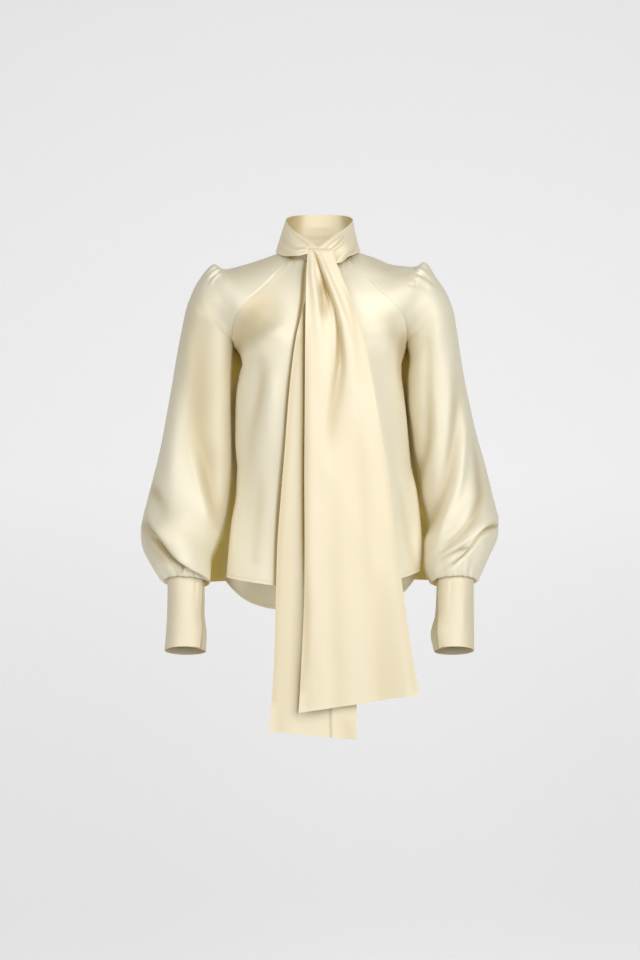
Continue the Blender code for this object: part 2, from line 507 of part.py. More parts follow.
def side_points():
    """The side seams from the underarm to the slits: right and left points and the panels' middles, by row."""
    under = ((RIGHT_SLEEVE[YOKE_STATIONS][1], RIGHT_SLEEVE[YOKE_STATIONS][0], LEFT_SLEEVE[YOKE_STATIONS][0],
              YOKE[-1][0], YOKE[-1][2]),)
    table = between(under + SIDES, row_places(0, len(SIDES)))[1:]
    mid_y = RIGHT_SLEEVE[YOKE_STATIONS][6]
    return [((x_right, mid_y, z), (x_left, mid_y, z), front_y, back_y, z)
            for z, x_right, x_left, front_y, back_y in table]


def panel(name, seam_right, seam_left, flap):
    """The front or the back: rows between the raglan seams, then between the side seams, then the loose flap."""
    is_front = name == "front"
    middles = between(YOKE, row_places(0, YOKE_STATIONS))
    rows = []
    for number, row in enumerate(middles):
        middle = row[0:2] if is_front else row[2:4]
        rows.append(panel_row(seam_right[number], seam_left[number], middle, row[4]))
    for right, left, front_y, back_y, z in side_points():
        middle = (front_y if is_front else back_y, z)
        rows.append(panel_row(np.array(right), np.array(left), middle, 1.0))
    right, left, front_y, back_y, z = side_points()[-1]
    start = right + left + ((front_y if is_front else back_y), z)
    loose = between((start,) + flap, row_places(0, len(flap)))[1:]
    for number, row in enumerate(loose):
        drop = (number + 1) / len(loose)
        roundness = 1 + (SLIT_TURN - 1) * min(1, 2 * drop)
        hem = 0.0 if is_front else drop
        rows.append(panel_row(row[0:3], row[3:6], row[6:8], roundness, hem))
    points = np.array(rows)
    return Sheet(name, points[:, ::-1] if is_front else points)


def cuff(name, table):
    """A deep cuff: a band round the wrist whose ends lap over each other on its inner side."""
    points = []
    for height, inner_x, outer_x, mid_y, depth, edge, tuck in between(table, row_places(0, len(table) - 1)):
        middle, half = (inner_x + outer_x) / 2, (inner_x - outer_x) / 2
        turns = np.linspace(edge, 360 + edge + CUFF_LAP, CUFF_COLUMNS + 1)
        shrink = 1 - tuck / depth * smooth(turns, 330, 360 + edge)
        angles = np.radians(turns)
        x = middle + half * np.cos(angles) * shrink
        y = mid_y - depth * np.sin(angles) * shrink
        points.append(np.stack([x, y, leaning(height, y - mid_y)], axis=-1))
    points = np.array(points)
    return Sheet(name, points[:, ::-1] if name == "cuff_left" else points)


def neck_scarf():
    """The scarf's stretch round the neck, from under the crossing at the front, all round, and over it."""
    columns = between(NECK_SCARF, np.linspace(0, len(NECK_SCARF) - 1, NECK_COLUMNS + 1))
    points = np.zeros((NECK_ROWS, len(columns), 3))
    for row, part in enumerate(np.linspace(0, 1, NECK_ROWS)):
        for column, (turn, *edges, swell) in enumerate(columns):
            upper, lower = np.array(edges[3:6]), np.array(edges[0:3])
            outward = np.array((-math.sin(math.radians(turn)), -math.cos(math.radians(turn)), 0))
            points[row, column] = upper + (lower - upper) * part + outward * swell * math.sin(math.pi * part)
    return Sheet("scarf_neck", points)


def tail(name, table):
    """A hanging end of the scarf: rows from its top edge to its cut end."""
    rows = between(table, row_places(0, len(table) - 1))
    share = np.linspace(0, 1, TAIL_COLUMNS + 1)[:, None]
    points = [row[0:3] + (row[3:6] - row[0:3]) * share for row in rows]
    return Sheet(name, np.array(points)[:, ::-1])


def seams(sheet, first):
    """The points of a sleeve's front (or back) raglan seam, from the neck to the underarm."""
    end = YOKE_STATIONS * BODY_ROWS_PER_STATION + 1
    column = 0 if first == (sheet.name == "sleeve_right") else -1
    return sheet.grid[:end, column]


def silk(name):
    """The satin of one piece."""
    material = bpy.data.materials.new(name + "_silk")
    material.use_nodes = True
    shader = material.node_tree.nodes["Principled BSDF"]
    shader.inputs["Base Color"].default_value = SILK
    shader.inputs["Roughness"].default_value = SILK_ROUGHNESS
    shader.inputs["Metallic"].default_value = 0.0
    return material


def add_object(collection, name, points, faces):
    """A mesh object of one piece, shaded smooth, in the blouse's collection."""
    mesh = bpy.data.meshes.new(name)
    mesh.from_pydata([tuple(p) for p in points], [], faces)
    mesh.update()
    mesh.shade_smooth()
    mesh.materials.append(silk(name))
    collection.objects.link(bpy.data.objects.new(name, mesh))


def main():
    for old in list(bpy.data.objects):
        bpy.data.objects.remove(old, do_unlink=True)
    collection = bpy.data.collections.new("scarf_neck_blouse")
    bpy.context.scene.collection.children.link(collection)

    right, left = sleeve("sleeve_right", RIGHT_SLEEVE), sleeve("sleeve_left", LEFT_SLEEVE)
    front = panel("front", seams(right, True), seams(left, True), FRONT_FLAP)
    back = panel("back", seams(right, False), seams(left, False), BACK_FLAP)
    body = folded([right, left, front, back])
    loose = folded([cuff("cuff_right", RIGHT_CUFF), cuff("cuff_left", LEFT_CUFF), neck_scarf(),
                    tail("scarf_tail_front", FRONT_TAIL), tail("scarf_tail_back", BACK_TAIL)])
    for sheets, thickness in ((body, CLOTH), (loose, DOUBLE_CLOTH)):
        normals, counts = seam_normals(sheets)
        for sheet in sheets:
            points, faces = wall(sheet, normals[sheet.name], counts, thickness)
            add_object(collection, sheet.name, points, faces)


main()
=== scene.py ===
"""Scarf-neck blouse in ivory silk satin, with bishop sleeves and deep cuffs, hanging in the air as if worn."""

import math

import bmesh
import bpy
import numpy as np
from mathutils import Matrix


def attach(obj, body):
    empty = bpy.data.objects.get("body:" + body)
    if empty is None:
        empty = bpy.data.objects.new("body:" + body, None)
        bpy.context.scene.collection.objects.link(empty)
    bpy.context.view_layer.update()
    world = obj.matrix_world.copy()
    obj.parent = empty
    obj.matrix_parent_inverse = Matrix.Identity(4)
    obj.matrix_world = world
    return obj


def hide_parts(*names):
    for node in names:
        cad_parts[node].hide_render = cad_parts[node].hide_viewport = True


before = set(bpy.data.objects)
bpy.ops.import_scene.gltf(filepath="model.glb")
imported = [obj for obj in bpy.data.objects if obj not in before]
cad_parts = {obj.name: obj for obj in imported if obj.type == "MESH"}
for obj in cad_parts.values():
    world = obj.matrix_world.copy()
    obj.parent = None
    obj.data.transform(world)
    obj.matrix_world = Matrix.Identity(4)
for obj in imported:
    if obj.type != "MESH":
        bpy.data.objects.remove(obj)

bl_info = {
    "name": "Scarf-neck blouse",
    "version": (1, 0, 0),
    "blender": (4, 5, 0),
    "location": "View3D > Sidebar > Blouse",
    "description": "A satin blouse with a scarf neck and full sleeves, built piece by piece as cloth",
    "category": "Add Mesh",
}

MM = 0.001
ROWS_PER_STATION = 8        # rows of points for each row of a table
YOKE_STATIONS = 8           # table rows from the neck seam to the underarm point
TUCK_ARC = 50               # degrees of a sleeve's ring that its bulge towards the body takes up
TUCK_TOP = -0.19            # above this height the bulge grows at once
FIRST_TUCK = 0.020          # the bulge just below the underarm
ROUND_BODY = 2.2            # power that shapes the body's rows: 2 for an ellipse
SLIT_TURN = 0.55            # how round a flap stays at its free edge
HEM_START, HEM_END = 0.30, 0.85   # the shirt-tail hem climbs between these shares of the half width
CUFF_LAP = 22               # degrees that a cuff's layers lie over each other
LEAN = 0.32                 # tilt of the rings where the forearm leans forwards
LEAN_FROM, LEAN_TO = -0.42, -0.57
SHADE_FROM, SHADE_OVER = 0.002, 0.014   # a trough gets painted shade from this depth, and full painted shade so much deeper
FACING = 0.8                # how far a crease rises towards the eye rather than straight out of the cloth
CREASE_REACH = 2.6          # a crease ends this many widths from its path
LIP_AT, LIP_WIDTH = 0.10, 0.09    # where round a sleeve its large fold hangs over the gathers
WAVES = ((0.13, 0.31), (0.09, 0.22), (0.061, 0.17), (0.047, 0.11))   # the slow waves' lengths, across and down
SWELL, LOOSE_SWELL, CUFF_SWELL = 0.0009, 0.0006, 0.0003   # their height in the body, the scarf and the cuffs
SEAM_DIP, SEAM_PUCKER, SIDE_PUCKER = 0.0004, 0.00025, 0.0003   # depth of the seams and height of their puckers
SLEEVE_NECK_PLEATS, PANEL_NECK_PLEATS, CUFF_PLEATS, FINE_PLEATS = 9, 22, 13, 31   # how many lie along an edge
NECK_PLEAT, NECK_PLEAT_LENGTH = 0.0007, 0.011   # height of the pleats at the neck seam, and how far they run down
GAP_SHADE, SIDE_SHADE = 1.8, 1.7     # painted shade where a sleeve faces the body, and at the body's side seams
BODY_INSIDE_SHADE, SLEEVE_INSIDE_SHADE = 1.9, 0.4     # painted shade on the inner face: inside the body, and in sleeves and cuffs
CUFF_GRID, SCARF_GRID = (72, 145), (57, 281)   # rows and columns of points
TAIL_COLUMNS = 200, 140     # columns of cells in the front and the back tail
STITCH, STITCH_GAP = 0.0028, 0.0016   # a stitch's length and the gap to the next one
STITCH_SIZES = (0.0002, 0.00042, 0.0002)   # its thickness at its start, middle and end, from the axis
HEM_INSET = 0.006           # from a hem's edge to its stitches
VIEW_WIDTH = 1.728          # what the camera takes in at the neck
AIM = (0, 0, -0.35)         # what the lamps face


def closed(*rows):
    """Full rows for a sleeve below the underarm, where the inner side is both start and end."""
    return tuple((x, z, x, z, *more[:-1], 0, 0, more[-1]) for x, z, *more in rows)


# The tables hold millimetres, and turns in degrees.
# ---- the sleeves ----
# A row for each section, from the neck seam to the cuff:
# seam_x, seam_z   where the section starts on the front raglan seam, or on the inner side below the underarm
# back_x, back_z   where it ends on the back raglan seam
# top_x, top_z     its highest or outermost point
# mid_y            the arm's middle, front to back
# front, back      how far the section reaches before and behind mid_y
# open_front, open_back   degrees between the section's start or end and its innermost point
# tuck   how far the cloth bulges towards the body just behind its innermost point
# Rows given to closed() leave out back_x, back_z, open_front and open_back.
SLEEVE_NAMES = ("seam_x", "seam_z", "back_x", "back_z", "top_x", "top_z", "mid_y",
                "front", "back", "open_front", "open_back", "tuck")
RIGHT_SLEEVE = (
    (-50, -15, -45, 18, -72, 3, 4, 80, 72, 132, 130, 0),
    (-76, -40, -68, 0, -105, -9, 4, 102, 90, 125, 125, 0),
    (-102, -68, -92, -30, -138, -19, 4, 108, 100, 118, 118, 0),
    (-121, -86, -112, -55, -172, -27, 4, 106, 100, 110, 110, 0),
    (-140, -107, -130, -82, -188, -17, 3, 94, 93, 98, 98, 0),
    (-150, -122, -143, -108, -206, -31, 2, 79, 79, 80, 80, 0),
    (-154, -141, -150, -135, -225, -61, 0, 68, 68, 46, 48, 0),
    (-155, -155, -153, -152, -232, -78, -1, 66, 67, 24, 25, 0),
) + closed(
    (-155, -164, -239, -95, -2, 64, 66, 0),
    (-157, -191, -247, -130, -1, 62, 65, 22),
    (-159, -230, -256, -178, 1, 61, 66, 15),
    (-159, -275, -265, -235, 4, 61, 69, 13),
    (-158, -320, -275, -293, 6, 63, 72, 13),
    (-157, -365, -287, -352, 6, 66, 75, 13),
    (-159, -412, -301, -408, 2, 70, 77, 14),
    (-163, -452, -312, -453, -6, 74, 77, 15),
    (-171, -494, -319, -493, -20, 77, 72, 10),
    (-181, -524, -315, -524, -33, 72, 62, 0),
    (-191, -549, -303, -548, -44, 60, 51, 0),
    (-194, -573, -289, -570, -53, 49, 43, 0),
    (-195, -587, -276, -584, -59, 41, 39, 0),
    (-200, -579, -271, -579, -60, 35.5, 34.5, 0),
    (-203, -580, -267.5, -580, -60, 31.5, 31.5, 0),
)
LEFT_SLEEVE = (
    (50, -15, 45, 18, 72, 3, 4, 80, 72, 132, 130, 0),
    (76, -40, 68, 0, 102, -7, 4, 102, 90, 125, 125, 0),
    (102, -68, 92, -30, 131, -19, 4, 108, 100, 118, 118, 0),
    (121, -86, 112, -55, 172, -22, 4, 106, 100, 110, 110, 0),
    (140, -107, 130, -82, 189, -14, 3, 94, 93, 98, 98, 0),
    (150, -122, 143, -108, 205.8, -36, 2, 79, 79, 80, 80, 0),
    (155, -141, 150, -135, 227.8, -68, 0, 68, 68, 46, 48, 0),
    (156, -155, 154, -152, 234.8, -86, -1, 66, 67, 24, 25, 0),
) + closed(
    (157, -164, 240.8, -104, -2, 64, 66, 0),
    (161, -191, 247.8, -141, -1, 62, 65, 20),
    (158, -228, 254.8, -190, 1, 61, 66, 15),
    (159, -268, 264.8, -245, 4, 61, 69, 14),
    (164, -310, 275.8, -297, 6, 63, 72, 14),
    (169, -352, 289.8, -348, 6, 66, 74, 14),
    (178, -396, 301.8, -394, 1, 69, 75, 13),
    (182, -432, 311.8, -439, -6, 73, 74, 13),
    (189, -462, 319.8, -478, -16, 75, 70, 6),
    (193, -489, 317.8, -506, -26, 73, 64, 2),
    (184, -520, 305.8, -532, -38, 66, 56, 0),
    (183, -553, 289.8, -563, -49, 54, 45, 0),
    (197, -586, 277.8, -585, -58, 41, 39, 0),
    (204, -579, 275, -579, -60, 35.5, 34.5, 0),
    (207, -580, 271.5, -580, -60, 31.5, 31.5, 0),
)

# ---- the body ----
# Beside the yoke: the front's middle (y, z), the back's middle (y, z), and how round the panel's row is.
YOKE = (
    (-76, -18, 62, 22, 0),
    (-96, -44, 81, 6, 0),
    (-109, -70, 93, -24, 0),
    (-115, -88, 99, -52, 0),
    (-120, -108, 103, -81, 0.15),
    (-123, -124, 104, -108, 0.4),
    (-126, -142, 104, -136, 0.75),
    (-127, -154, 103, -152, 0.9),
    (-128, -165, 102, -165, 1),
)
# The side seams below the underarm: height, then x of the right and the left seam, and the middles' y.
SIDES = (
    (-182, -142, 152, -129, 100),
    (-199, -138, 147, -129, 98),
    (-218, -143, 147, -128, 95),
    (-246, -149, 151, -127, 92),
    (-288, -151, 156, -125, 89),
    (-336, -151, 160, -123, 87),
    (-383, -147, 164, -121, 89),
)
# Below the slits each panel has its own edges: x, y, z of the right and of the left edge, y and z of the middle.
FRONT_FLAP = (
    (-149, -22, -430, 173, -18, -424, -122, -431),
    (-157, -38, -482, 178, -32, -474, -124, -484),
    (-162, -48, -532, 181, -44, -522, -127, -538),
    (-164.5, -55, -577, 179, -52, -566, -131, -592),
)
BACK_FLAP = (
    (-149.5, 34, -434, 174, 30, -430, 95, -441),
    (-179, 34, -484, 200, 33, -482, 105, -510),
    (-197, 37, -540, 204, 37, -536, 117, -579),
    (-204, 34, -591, 206, 36, -588, 129, -645),
)

# ---- the cuffs ----
# Height, inner x, outer x, middle y, half depth, the upper layer's edge in degrees round from the inner side towards
# the front, and how far the under layer lies inside it there.
RIGHT_CUFF = (
    (-581, -202.5, -268, -60, 32, 28, 4),
    (-610, -201.5, -267, -69, 32, 30, 4.5),
    (-640, -201, -267, -78, 32, 34, 5.5),
    (-674, -196.5, -268, -88, 33, 40, 7),
    (-703, -197.5, -270, -96, 33, 44, 6),
)
LEFT_CUFF = (
    (-581, 206.5, 272, -60, 32, 24, 4),
    (-610, 204.5, 271, -69, 32, 26, 4.5),
    (-640, 202, 270.5, -78, 32, 34, 5.5),
    (-674, 193.5, 270, -88, 33, 46, 7.5),
    (-703, 199, 269.5, -96, 33, 40, 6),
)

# ---- the scarf ----
# Round the neck: turn in degrees from the front towards the wearer's right, then x, y, z of the lower and of the
# upper edge, and how far the band swells between them.
NECK_SCARF = (
    (-14, 12, -80, -20, 10, -76, -8, 1),
    (8, -10, -87, -15, -1, -82, 2, 1),
    (20, -22, -87, -9, -11, -78, 9, 3),
    (32, -36, -84, -12, -24, -68, 20, 6),
    (58, -60, -60, -10, -46, -45, 38, 4),
    (90, -79, -4, 5, -60.5, 0, 63, 0),
    (135, -60, 53, 18, -47, 52, 78, 3),
    (180, 0, 75, 20, 0, 70, 83, 2),
    (225, 60, 53, 19.5, 47, 52, 78, 3),
    (270, 73, -4, 7, 60, 0, 63, -1),
    (302, 62, -62, -7, 45, -46, 41, 3),
    (326, 50, -86, -14, 28, -70, 27, 6),
    (342, 36, -98, -26, 12, -84, 12, 3),
    (356, 20, -100, -27, -1, -91, 2, 2),
    (368, 6, -101, -24, -12, -95, -7, 1),
)
# The tails: x, y, z of the left and of the right edge.
FRONT_TAIL = (
    (-18.5, -108.5, -15, 20, -108.5, -16),
    (-19.5, -107, -8.5, 21.5, -107, -8.5),
    (-20, -110, -2.8, 22, -110, -3),
    (-20, -115, -6.5, 23, -115, -7),
    (-21, -119, -20, 26, -119.5, -20),
    (-22.5, -127, -45, 36, -127, -45),
    (-23.5, -138.5, -97, 56, -138, -97),
    (-24.5, -147.5, -157, 76, -145, -157),
    (-25, -153, -230, 90, -149, -230),
    (-25.5, -155.5, -310, 103, -150, -305),
    (-26, -155, -400, 118, -148, -390),
    (-25.5, -157, -500, 129, -149, -490),
    (-26, -158, -600, 142, -151, -585),
    (-30, -160, -700, 155, -152, -680),
    (-35.5, -162, -803, 172, -150, -774),
)
BACK_TAIL = (
    (-12, -108.5, -38, 18, -108.5, -40),
    (-18, -116.5, -62, 23, -116.5, -62),
    (-26, -124.5, -97, 30, -124.5, -97),
    (-34, -130.5, -130, 35, -130, -130),
    (-42, -134.5, -167, 40, -133.5, -167),
    (-52, -138.5, -250, 50, -137, -250),
    (-59, -139, -340, 56, -137, -340),
    (-66, -139, -430, 60, -137, -430),
    (-73, -139, -520, 62, -137, -520),
    (-75.5, -140, -620, 64, -138, -620),
    (-79, -141, -730, 65, -139, -730),
    (-86.5, -142, -838, 63, -140, -852),
)

# ---- the creases ----
# By piece and by the side they are seen from.
# Each has its width beyond the path as a share of the width before it, its lap (how far the ridge hangs over its
# far side), then the path's points: x, z, height (below zero for a trough) and width before the path. x and z are
# as they appear on the plane through the neck. A point that leaves out width, or height and width, keeps those of
# the point before it.
CREASES = {
    ("sleeve_right", "front"): (
        (1, 0, (-163, -81, 0, 13), (-168, -162, 2.5, 14), (-170, -297, 4, 15), (-172, -396, 3.5, 14),
         (-181, -477, 1, 12)),
        (1, 0, (-201, -81, 0, 26), (-210, -153, -7, 28), (-213, -243, -10, 30), (-215, -315, -12, 28),
         (-204, -380, -12, 21), (-194, -437, -9, 14), (-184, -486, -4, 10)),
        (1, 0, (-262, -207, 0, 18), (-267, -315, 3, 20), (-264, -387, 4, 22), (-251, -468, 6, 26)),
        (0.45, 0, (-244, -326, 0, 20), (-228, -373, 4), (-215, -416, 5), (-204, -455, 4, 18), (-197, -481, 1, 16)),
        (1, 0, (-305, -396, 0, 7), (-296, -419, -2), (-282, -445), (-269, -463, 0)),
        (1, 0, (-296, -442, -0.8, 2), (-289, -434, -1.4)),
        (0.16, 16, (-312, -466, 2, 12), (-300, -477, 9, 18), (-278, -499, 16, 24), (-246, -536, 20, 26),
         (-224, -558, 17, 22), (-201, -581, 8, 14)),
        (0.8, 0, (-309, -495, -6, 8), (-296, -508, -14, 11), (-278, -524, -20, 13), (-260, -540, -18, 11),
         (-244, -556, -10, 7)),
        (1, 0, (-302, -553, 0, 9), (-287, -560, 3, 8), (-266, -567, 2, 7)),
        (1, 0, (-248, -553, 0, 2.5), (-249, -562, 3.5, 2.6), (-251, -572, 2, 3)),
        (1, 0, (-243, -554, 0, 2), (-244, -563, -3), (-245, -574, -1)),
        (1, 0, (-184, -15, 2.5, 3.5), (-194, -23, 3.5, 4), (-208, -36, 1, 5)),
        (1, 0, (-182, -26, 3, 2.2), (-192, -32, 3, 2.6), (-204, -45, 0.5, 4)),
        (1, 0, (-180, -34, 2.2, 2), (-190, -43, 2, 2.6), (-199, -58, 0, 4)),
        (1, 0, (-185, -23, -2.5, 1.6), (-195, -31, -2, 2), (-204, -38, 0, 3)),
        (1, 0, (-183, -32, -2, 1.4), (-192, -39, -1.8, 2), (-201, -49, 0, 3)),
        (0.8, 0, (-178, -20, -1.5, 1.8), (-176, -32, -2), (-173, -47, -0.5)),
    ),
    ("sleeve_left", "front"): (
        (1, 0, (176, -13, 3, 4), (186, -17, 4.5, 4.5), (201, -29, 2, 6)),
        (1, 0, (176, -25, 3, 2.4), (188, -31, 3.2, 2.8), (202, -40, 1, 4)),
        (1, 0, (176, -41, 3.2, 2.6), (192, -50, 3, 3), (208, -61, 0.5, 4)),
        (1, 0, (177, -33, -2.5, 1.4), (192, -41, -2.6, 1.6), (210, -55, 0, 3)),
        (1, 0, (156, -52, 0, 2.5), (170, -55, -1.8, 2.2), (184, -58, -2.4, 2), (197, -60, 0, 2.5)),
        (0.8, 0, (173, -22, -1.5, 1.8), (173, -36, -2), (174, -54, -0.5)),
        (1, 0, (165, -27, 0, 4), (156, -31, -1.2), (141, -27, 0)),
        (1, 0, (212, -121, 0, 12), (210, -171, 3, 13), (212, -261, 4), (213, -315, 4, 12), (204, -378, 4, 11),
         (188, -441, 0, 10)),
        (1, 0, (199, -81, 0, 10), (195, -153, -2.5, 11), (194, -225, -3), (195, -288, -4, 10), (192, -344, -4.5, 9),
         (183, -383, -4, 8), (177, -412, -2, 7)),
        (1, 0, (230, -153, 0, 14), (231, -207, 3), (233, -252, 4, 13), (230, -315, 4, 12), (219, -387, 4, 11),
         (202, -450, 1, 10)),
        (1, 0, (248, -180, 0, 10), (248, -252, -3, 12), (244, -310, -5), (235, -373, -6.5), (222, -421, -6.5, 11.5),
         (206, -466, -6, 10), (194, -490, -3, 8)),
        (1, 0, (260, -252, 0, 9), (262, -306, 3), (258, -360, 5), (248, -421, 6, 9.5), (226, -477, 6, 9),
         (212, -508, 1, 8)),
        (1, 0, (276, -315, 0, 8), (282, -351, -3), (289, -389, -5, 9), (292, -430, -6, 9.5), (280, -470),
         (255, -502, -5.5, 8.5), (224, -529, -2, 7)),
        (1, 0, (273, -330, 0, 2.4), (280, -331, -2, 2.2), (286, -335, -1, 2)),
        (1, 0, (283, -335, 2, 3), (292, -362, 3, 3.5), (303, -391, 3, 4), (312, -423, 1, 5)),
        (0.3, 6, (233, -556, 2, 8), (253, -538, 4, 9), (267, -522, 6, 10), (276, -504, 8, 11), (292, -486, 10, 12),
         (309, -477, 8, 10), (321, -472, 3, 7)),
        (1, 0, (320, -490, -4, 5), (305, -493, -8, 6), (287, -506, -6, 4.5), (273, -526, -5, 3.5),
         (256, -545, -4, 3), (238, -559, -2, 2.5)),
        (0.5, 2, (206, -571, 2, 6), (213, -549, 4), (231, -535, 6), (251, -522), (267, -509, 2, 5)),
        (1, 0, (264, -526, -3, 2.5), (253, -530, -5, 3), (242, -538, -3.5, 2.8), (230, -547, -2.5, 2.6),
         (217, -560, -1, 2.5)),
        (1, 0, (285, -522, 0, 10), (296, -531, 3, 12), (289, -549, 3, 10)),
        (1, 0, (58, -1, 3, 2.2), (68, -16, 0.8, 3)),
        (1, 0, (68, 4, 3, 2.2), (78, -9, 0.8, 3)),
    ),
    ("front", "front"): (
        (0.8, 0, (-53, -13, 0, 24), (-78, -63, -5, 32), (-100, -106, -10, 34), (-122, -142, -9, 26),
         (-138, -171, -4, 14)),
        (0.45, 0, (-50, -121, 0, 30), (-78, -137, 5, 36), (-107, -158, 7), (-129, -185, 5, 24),
         (-140, -211, 0, 14)),
        (1, 0, (-100, -180, 0, 13), (-105, -234, -3), (-116, -293, -5), (-127, -360, -4, 12), (-138, -441, -1, 11)),
        (1, 0, (-82, -171, 0, 22), (-84, -261, 3), (-93, -387, 3, 24), (-100, -513, 2), (-104, -585)),
        (1, 0, (-23, -2, -5, 3), (-28, -38, -7), (-30, -74, -8), (-42, -153, -10), (-54, -243, -11), (-60, -333),
         (-68, -405), (-73, -470), (-75, -531, -10), (-76, -607, -9)),
        (1, 0, (87, -135, 0, 16), (102, -234, 2), (116, -333, 2.5), (132, -441), (152, -549, 1.5, 15), (159, -585)),
        (1, 0, (120, -279, 0, 9), (129, -342, -1.2), (148, -437, -2), (161, -518, -2.2), (177, -567, -1.8)),
        (1, 0, (96, -252, 0, 9), (107, -302, -0.8), (121, -405, -1.3, 8.5), (140, -486, -1.4),
         (152, -558, -0.6, 8)),
        (1, 0, (147, -63, 0, 16), (145, -121, -3), (143, -164, -4, 14), (143, -203, -1, 10)),
        (1, 0, (113, -126, 0, 26), (130, -171, 3, 24), (138, -216, 3, 20), (141, -261, 0, 16)),
        (1, 0, (163, -342, 0, 7), (172, -405, 2), (179, -477, 3, 8), (179, -549, 1)),
        (1, 0, (-50, -2, 3, 2.6), (-53, -16, 0.8, 3)),
        (1, 0, (-40, -4, 3, 2.4), (-42, -22, 0.8, 3)),
        (1, 0, (-32, -4, 3, 2.4), (-32, -16, 0.8, 3)),
        (1, 0, (39, -13, 3, 2.4), (45, -31, 0.8, 3)),
        (1, 0, (49, -7, 3, 2.4), (56, -23, 0.8, 3)),
    ),
    ("scarf_neck", "front"): (
        (0.5, 0, (-55, 54, 0, 3), (-40, 34, 1), (-21, 14, 1.2), (-8, 9, 0.5)),
        (0.6, 0, (-76, 22, 0.5, 4), (-62, 11, 1.5, 5), (-44, 4, 2.2), (-26, 10, 1.5, 4)),
        (1, 0, (-69, 34, 0, 3), (-57, 22, -0.8), (-40, 14, -1), (-24, 14, -0.4)),
        (1, 0, (-51, 43, 0, 1.4), (-48, 36, -0.6), (-44, 30, -0.2)),
        (0.5, 0, (55, 49, 0, 4), (42, 34, 1.5), (26, 22, 2), (12, 11, 1, 3)),
        (1, 0, (42, 31, 0, 2), (35, 23, -1.6, 1.8), (27, 16, -2), (20, 11, -1.2, 1.6)),
        (1, 0, (44, 23, 0, 2), (36, 16, -1.2, 1.6), (26, 9, -1.6)),
        (0.8, 0, (66, 34, 0, 5), (58, 18, 1.2), (46, 4, 1.6, 4), (33, -9, 1)),
        (1, 0, (69, 22, 0, 3), (62, 9, -1.2, 2.6), (50, -2, -1.4), (39, -11, -0.6)),
    ),
    ("scarf_tail_front", "front"): (
        (1, 0, (-15, 14, 1, 5), (-14, -2, 3, 5.5), (-13, -31, 5.5, 6), (-8, -67, 6, 8), (-3, -117, 5, 10),
         (1, -189, 3, 12), (1, -261, 0)),
        (0.7, 0, (-11, 9, -2, 2), (-6, -2, -5, 2.6), (3, -30, -9, 3.4), (14, -67, -11, 4.6), (19, -86, -8, 5),
         (21, -110, -3)),
        (1.4, 0, (-3, 9, 1, 3), (4, -9, 3, 4), (17, -43, 5, 5), (32, -81, 6, 7), (46, -126, 5.5, 9),
         (57, -189, 4, 11), (58, -297, 1, 14)),
        (0.8, 0, (17, -67, -4, 2.6), (28, -99, -9, 3.6), (35, -144, -11, 5), (37, -193, -9, 8), (32, -234, -7, 12),
         (26, -288, -5, 15), (19, -360, -1, 18)),
        (1, 0, (4, -41, -1, 4), (8, -67, -6, 7), (9, -92, -5), (8, -121, 0, 5)),
        (1, 0, (24, 5, -1, 4), (40, -36, -1.2, 6), (62, -92, -1.2, 7), (84, -162, 0, 8)),
        (1, 0, (73, -225, 0, 14), (87, -351, 1.5, 16), (98, -477, 0)),
        (1, 0, (109, -477, 0, 18), (116, -585, -2.5, 19), (122, -693, -5, 20), (127, -805, -7)),
        (1, 0, (148, -657, 0, 12), (154, -729, 2), (163, -805, 3, 13)),
        (1, 0, (-3, -549, 0, 16), (1, -693, 1.5), (4, -823, 2, 18)),
    ),
    ("scarf_tail_back", "front"): (
        (1, 0, (-26, -63, -4, 1.5), (-27, -153, -6, 1.6), (-27, -261), (-28, -405), (-27, -513), (-23, -634),
         (-25, -702, -5), (-32, -765, -4), (-39, -823, -2)),
        (0.18, 0, (21, -621, 0, 16), (22, -729, 3, 18), (23, -801, 5, 20), (24, -877, 6)),
        (1, 0, (-53, -549, 0, 12), (-53, -693, 1), (-53, -864, 1.5, 13)),
    ),
    ("cuff_right", "front"): (
        (1, 0, (-244, -592, 0, 7), (-246, -639, 0.8, 8), (-242, -693, 0)),
        (1, 0, (-222, -590, -1.2, 2), (-224, -614, -0.6, 3), (-226, -639, 0, 4)),
    ),
    ("cuff_left", "front"): (
        (1, 0, (238, -590, -1, 3), (235, -621, -0.5, 4), (235, -653, 0, 5)),
        (1, 0, (260, -603, 0, 5), (258, -648, 0.8, 6), (260, -693, 0)),
    ),
    ("sleeve_right", "back"): (
        (1, 0, (-185, -110, 0, 14), (-192, -180, -6), (-196, -280, -8, 13), (-205, -380), (-222, -470, -6, 12),
         (-236, -530, 0, 10)),
        (1, 0, (-232, -150, 0, 12), (-246, -240, -5), (-254, -340, -7), (-262, -430, -8), (-262, -500, -4, 10),
         (-252, -545, 0, 9)),
        (1, 0, (-208, -150, 0, 12), (-218, -260, 5), (-228, -380, 6), (-242, -470, 4, 11)),
        (1, 0, (-168, -200, 0, 9), (-172, -300, 4), (-180, -400, 5, 10), (-192, -480, 3)),
        (1, 0, (-200, -440, 0, 8), (-196, -490, -5), (-204, -540, -4, 7)),
        (0.3, 6, (-318, -485, 2, 12), (-300, -500, 7, 14), (-270, -515, 8, 16), (-240, -535, 6, 12),
         (-215, -560, 2, 8)),
        (1, 0, (-314, -505, -3, 6), (-292, -522, -6), (-265, -540), (-238, -560, -3, 5)),
    ),
    ("sleeve_left", "back"): (
        (1, 0, (186, -110, 0, 14), (196, -190, -6), (206, -290, -8, 13), (214, -380), (222, -460, -6, 12),
         (230, -520, 0, 10)),
        (1, 0, (236, -160, 0, 12), (250, -250, -6), (264, -340, -7), (274, -420, -8), (268, -490, -5, 10),
         (256, -540, 0, 9)),
        (1, 0, (212, -150, 0, 12), (226, -260, 5), (240, -370, 6), (248, -460, 4, 11)),
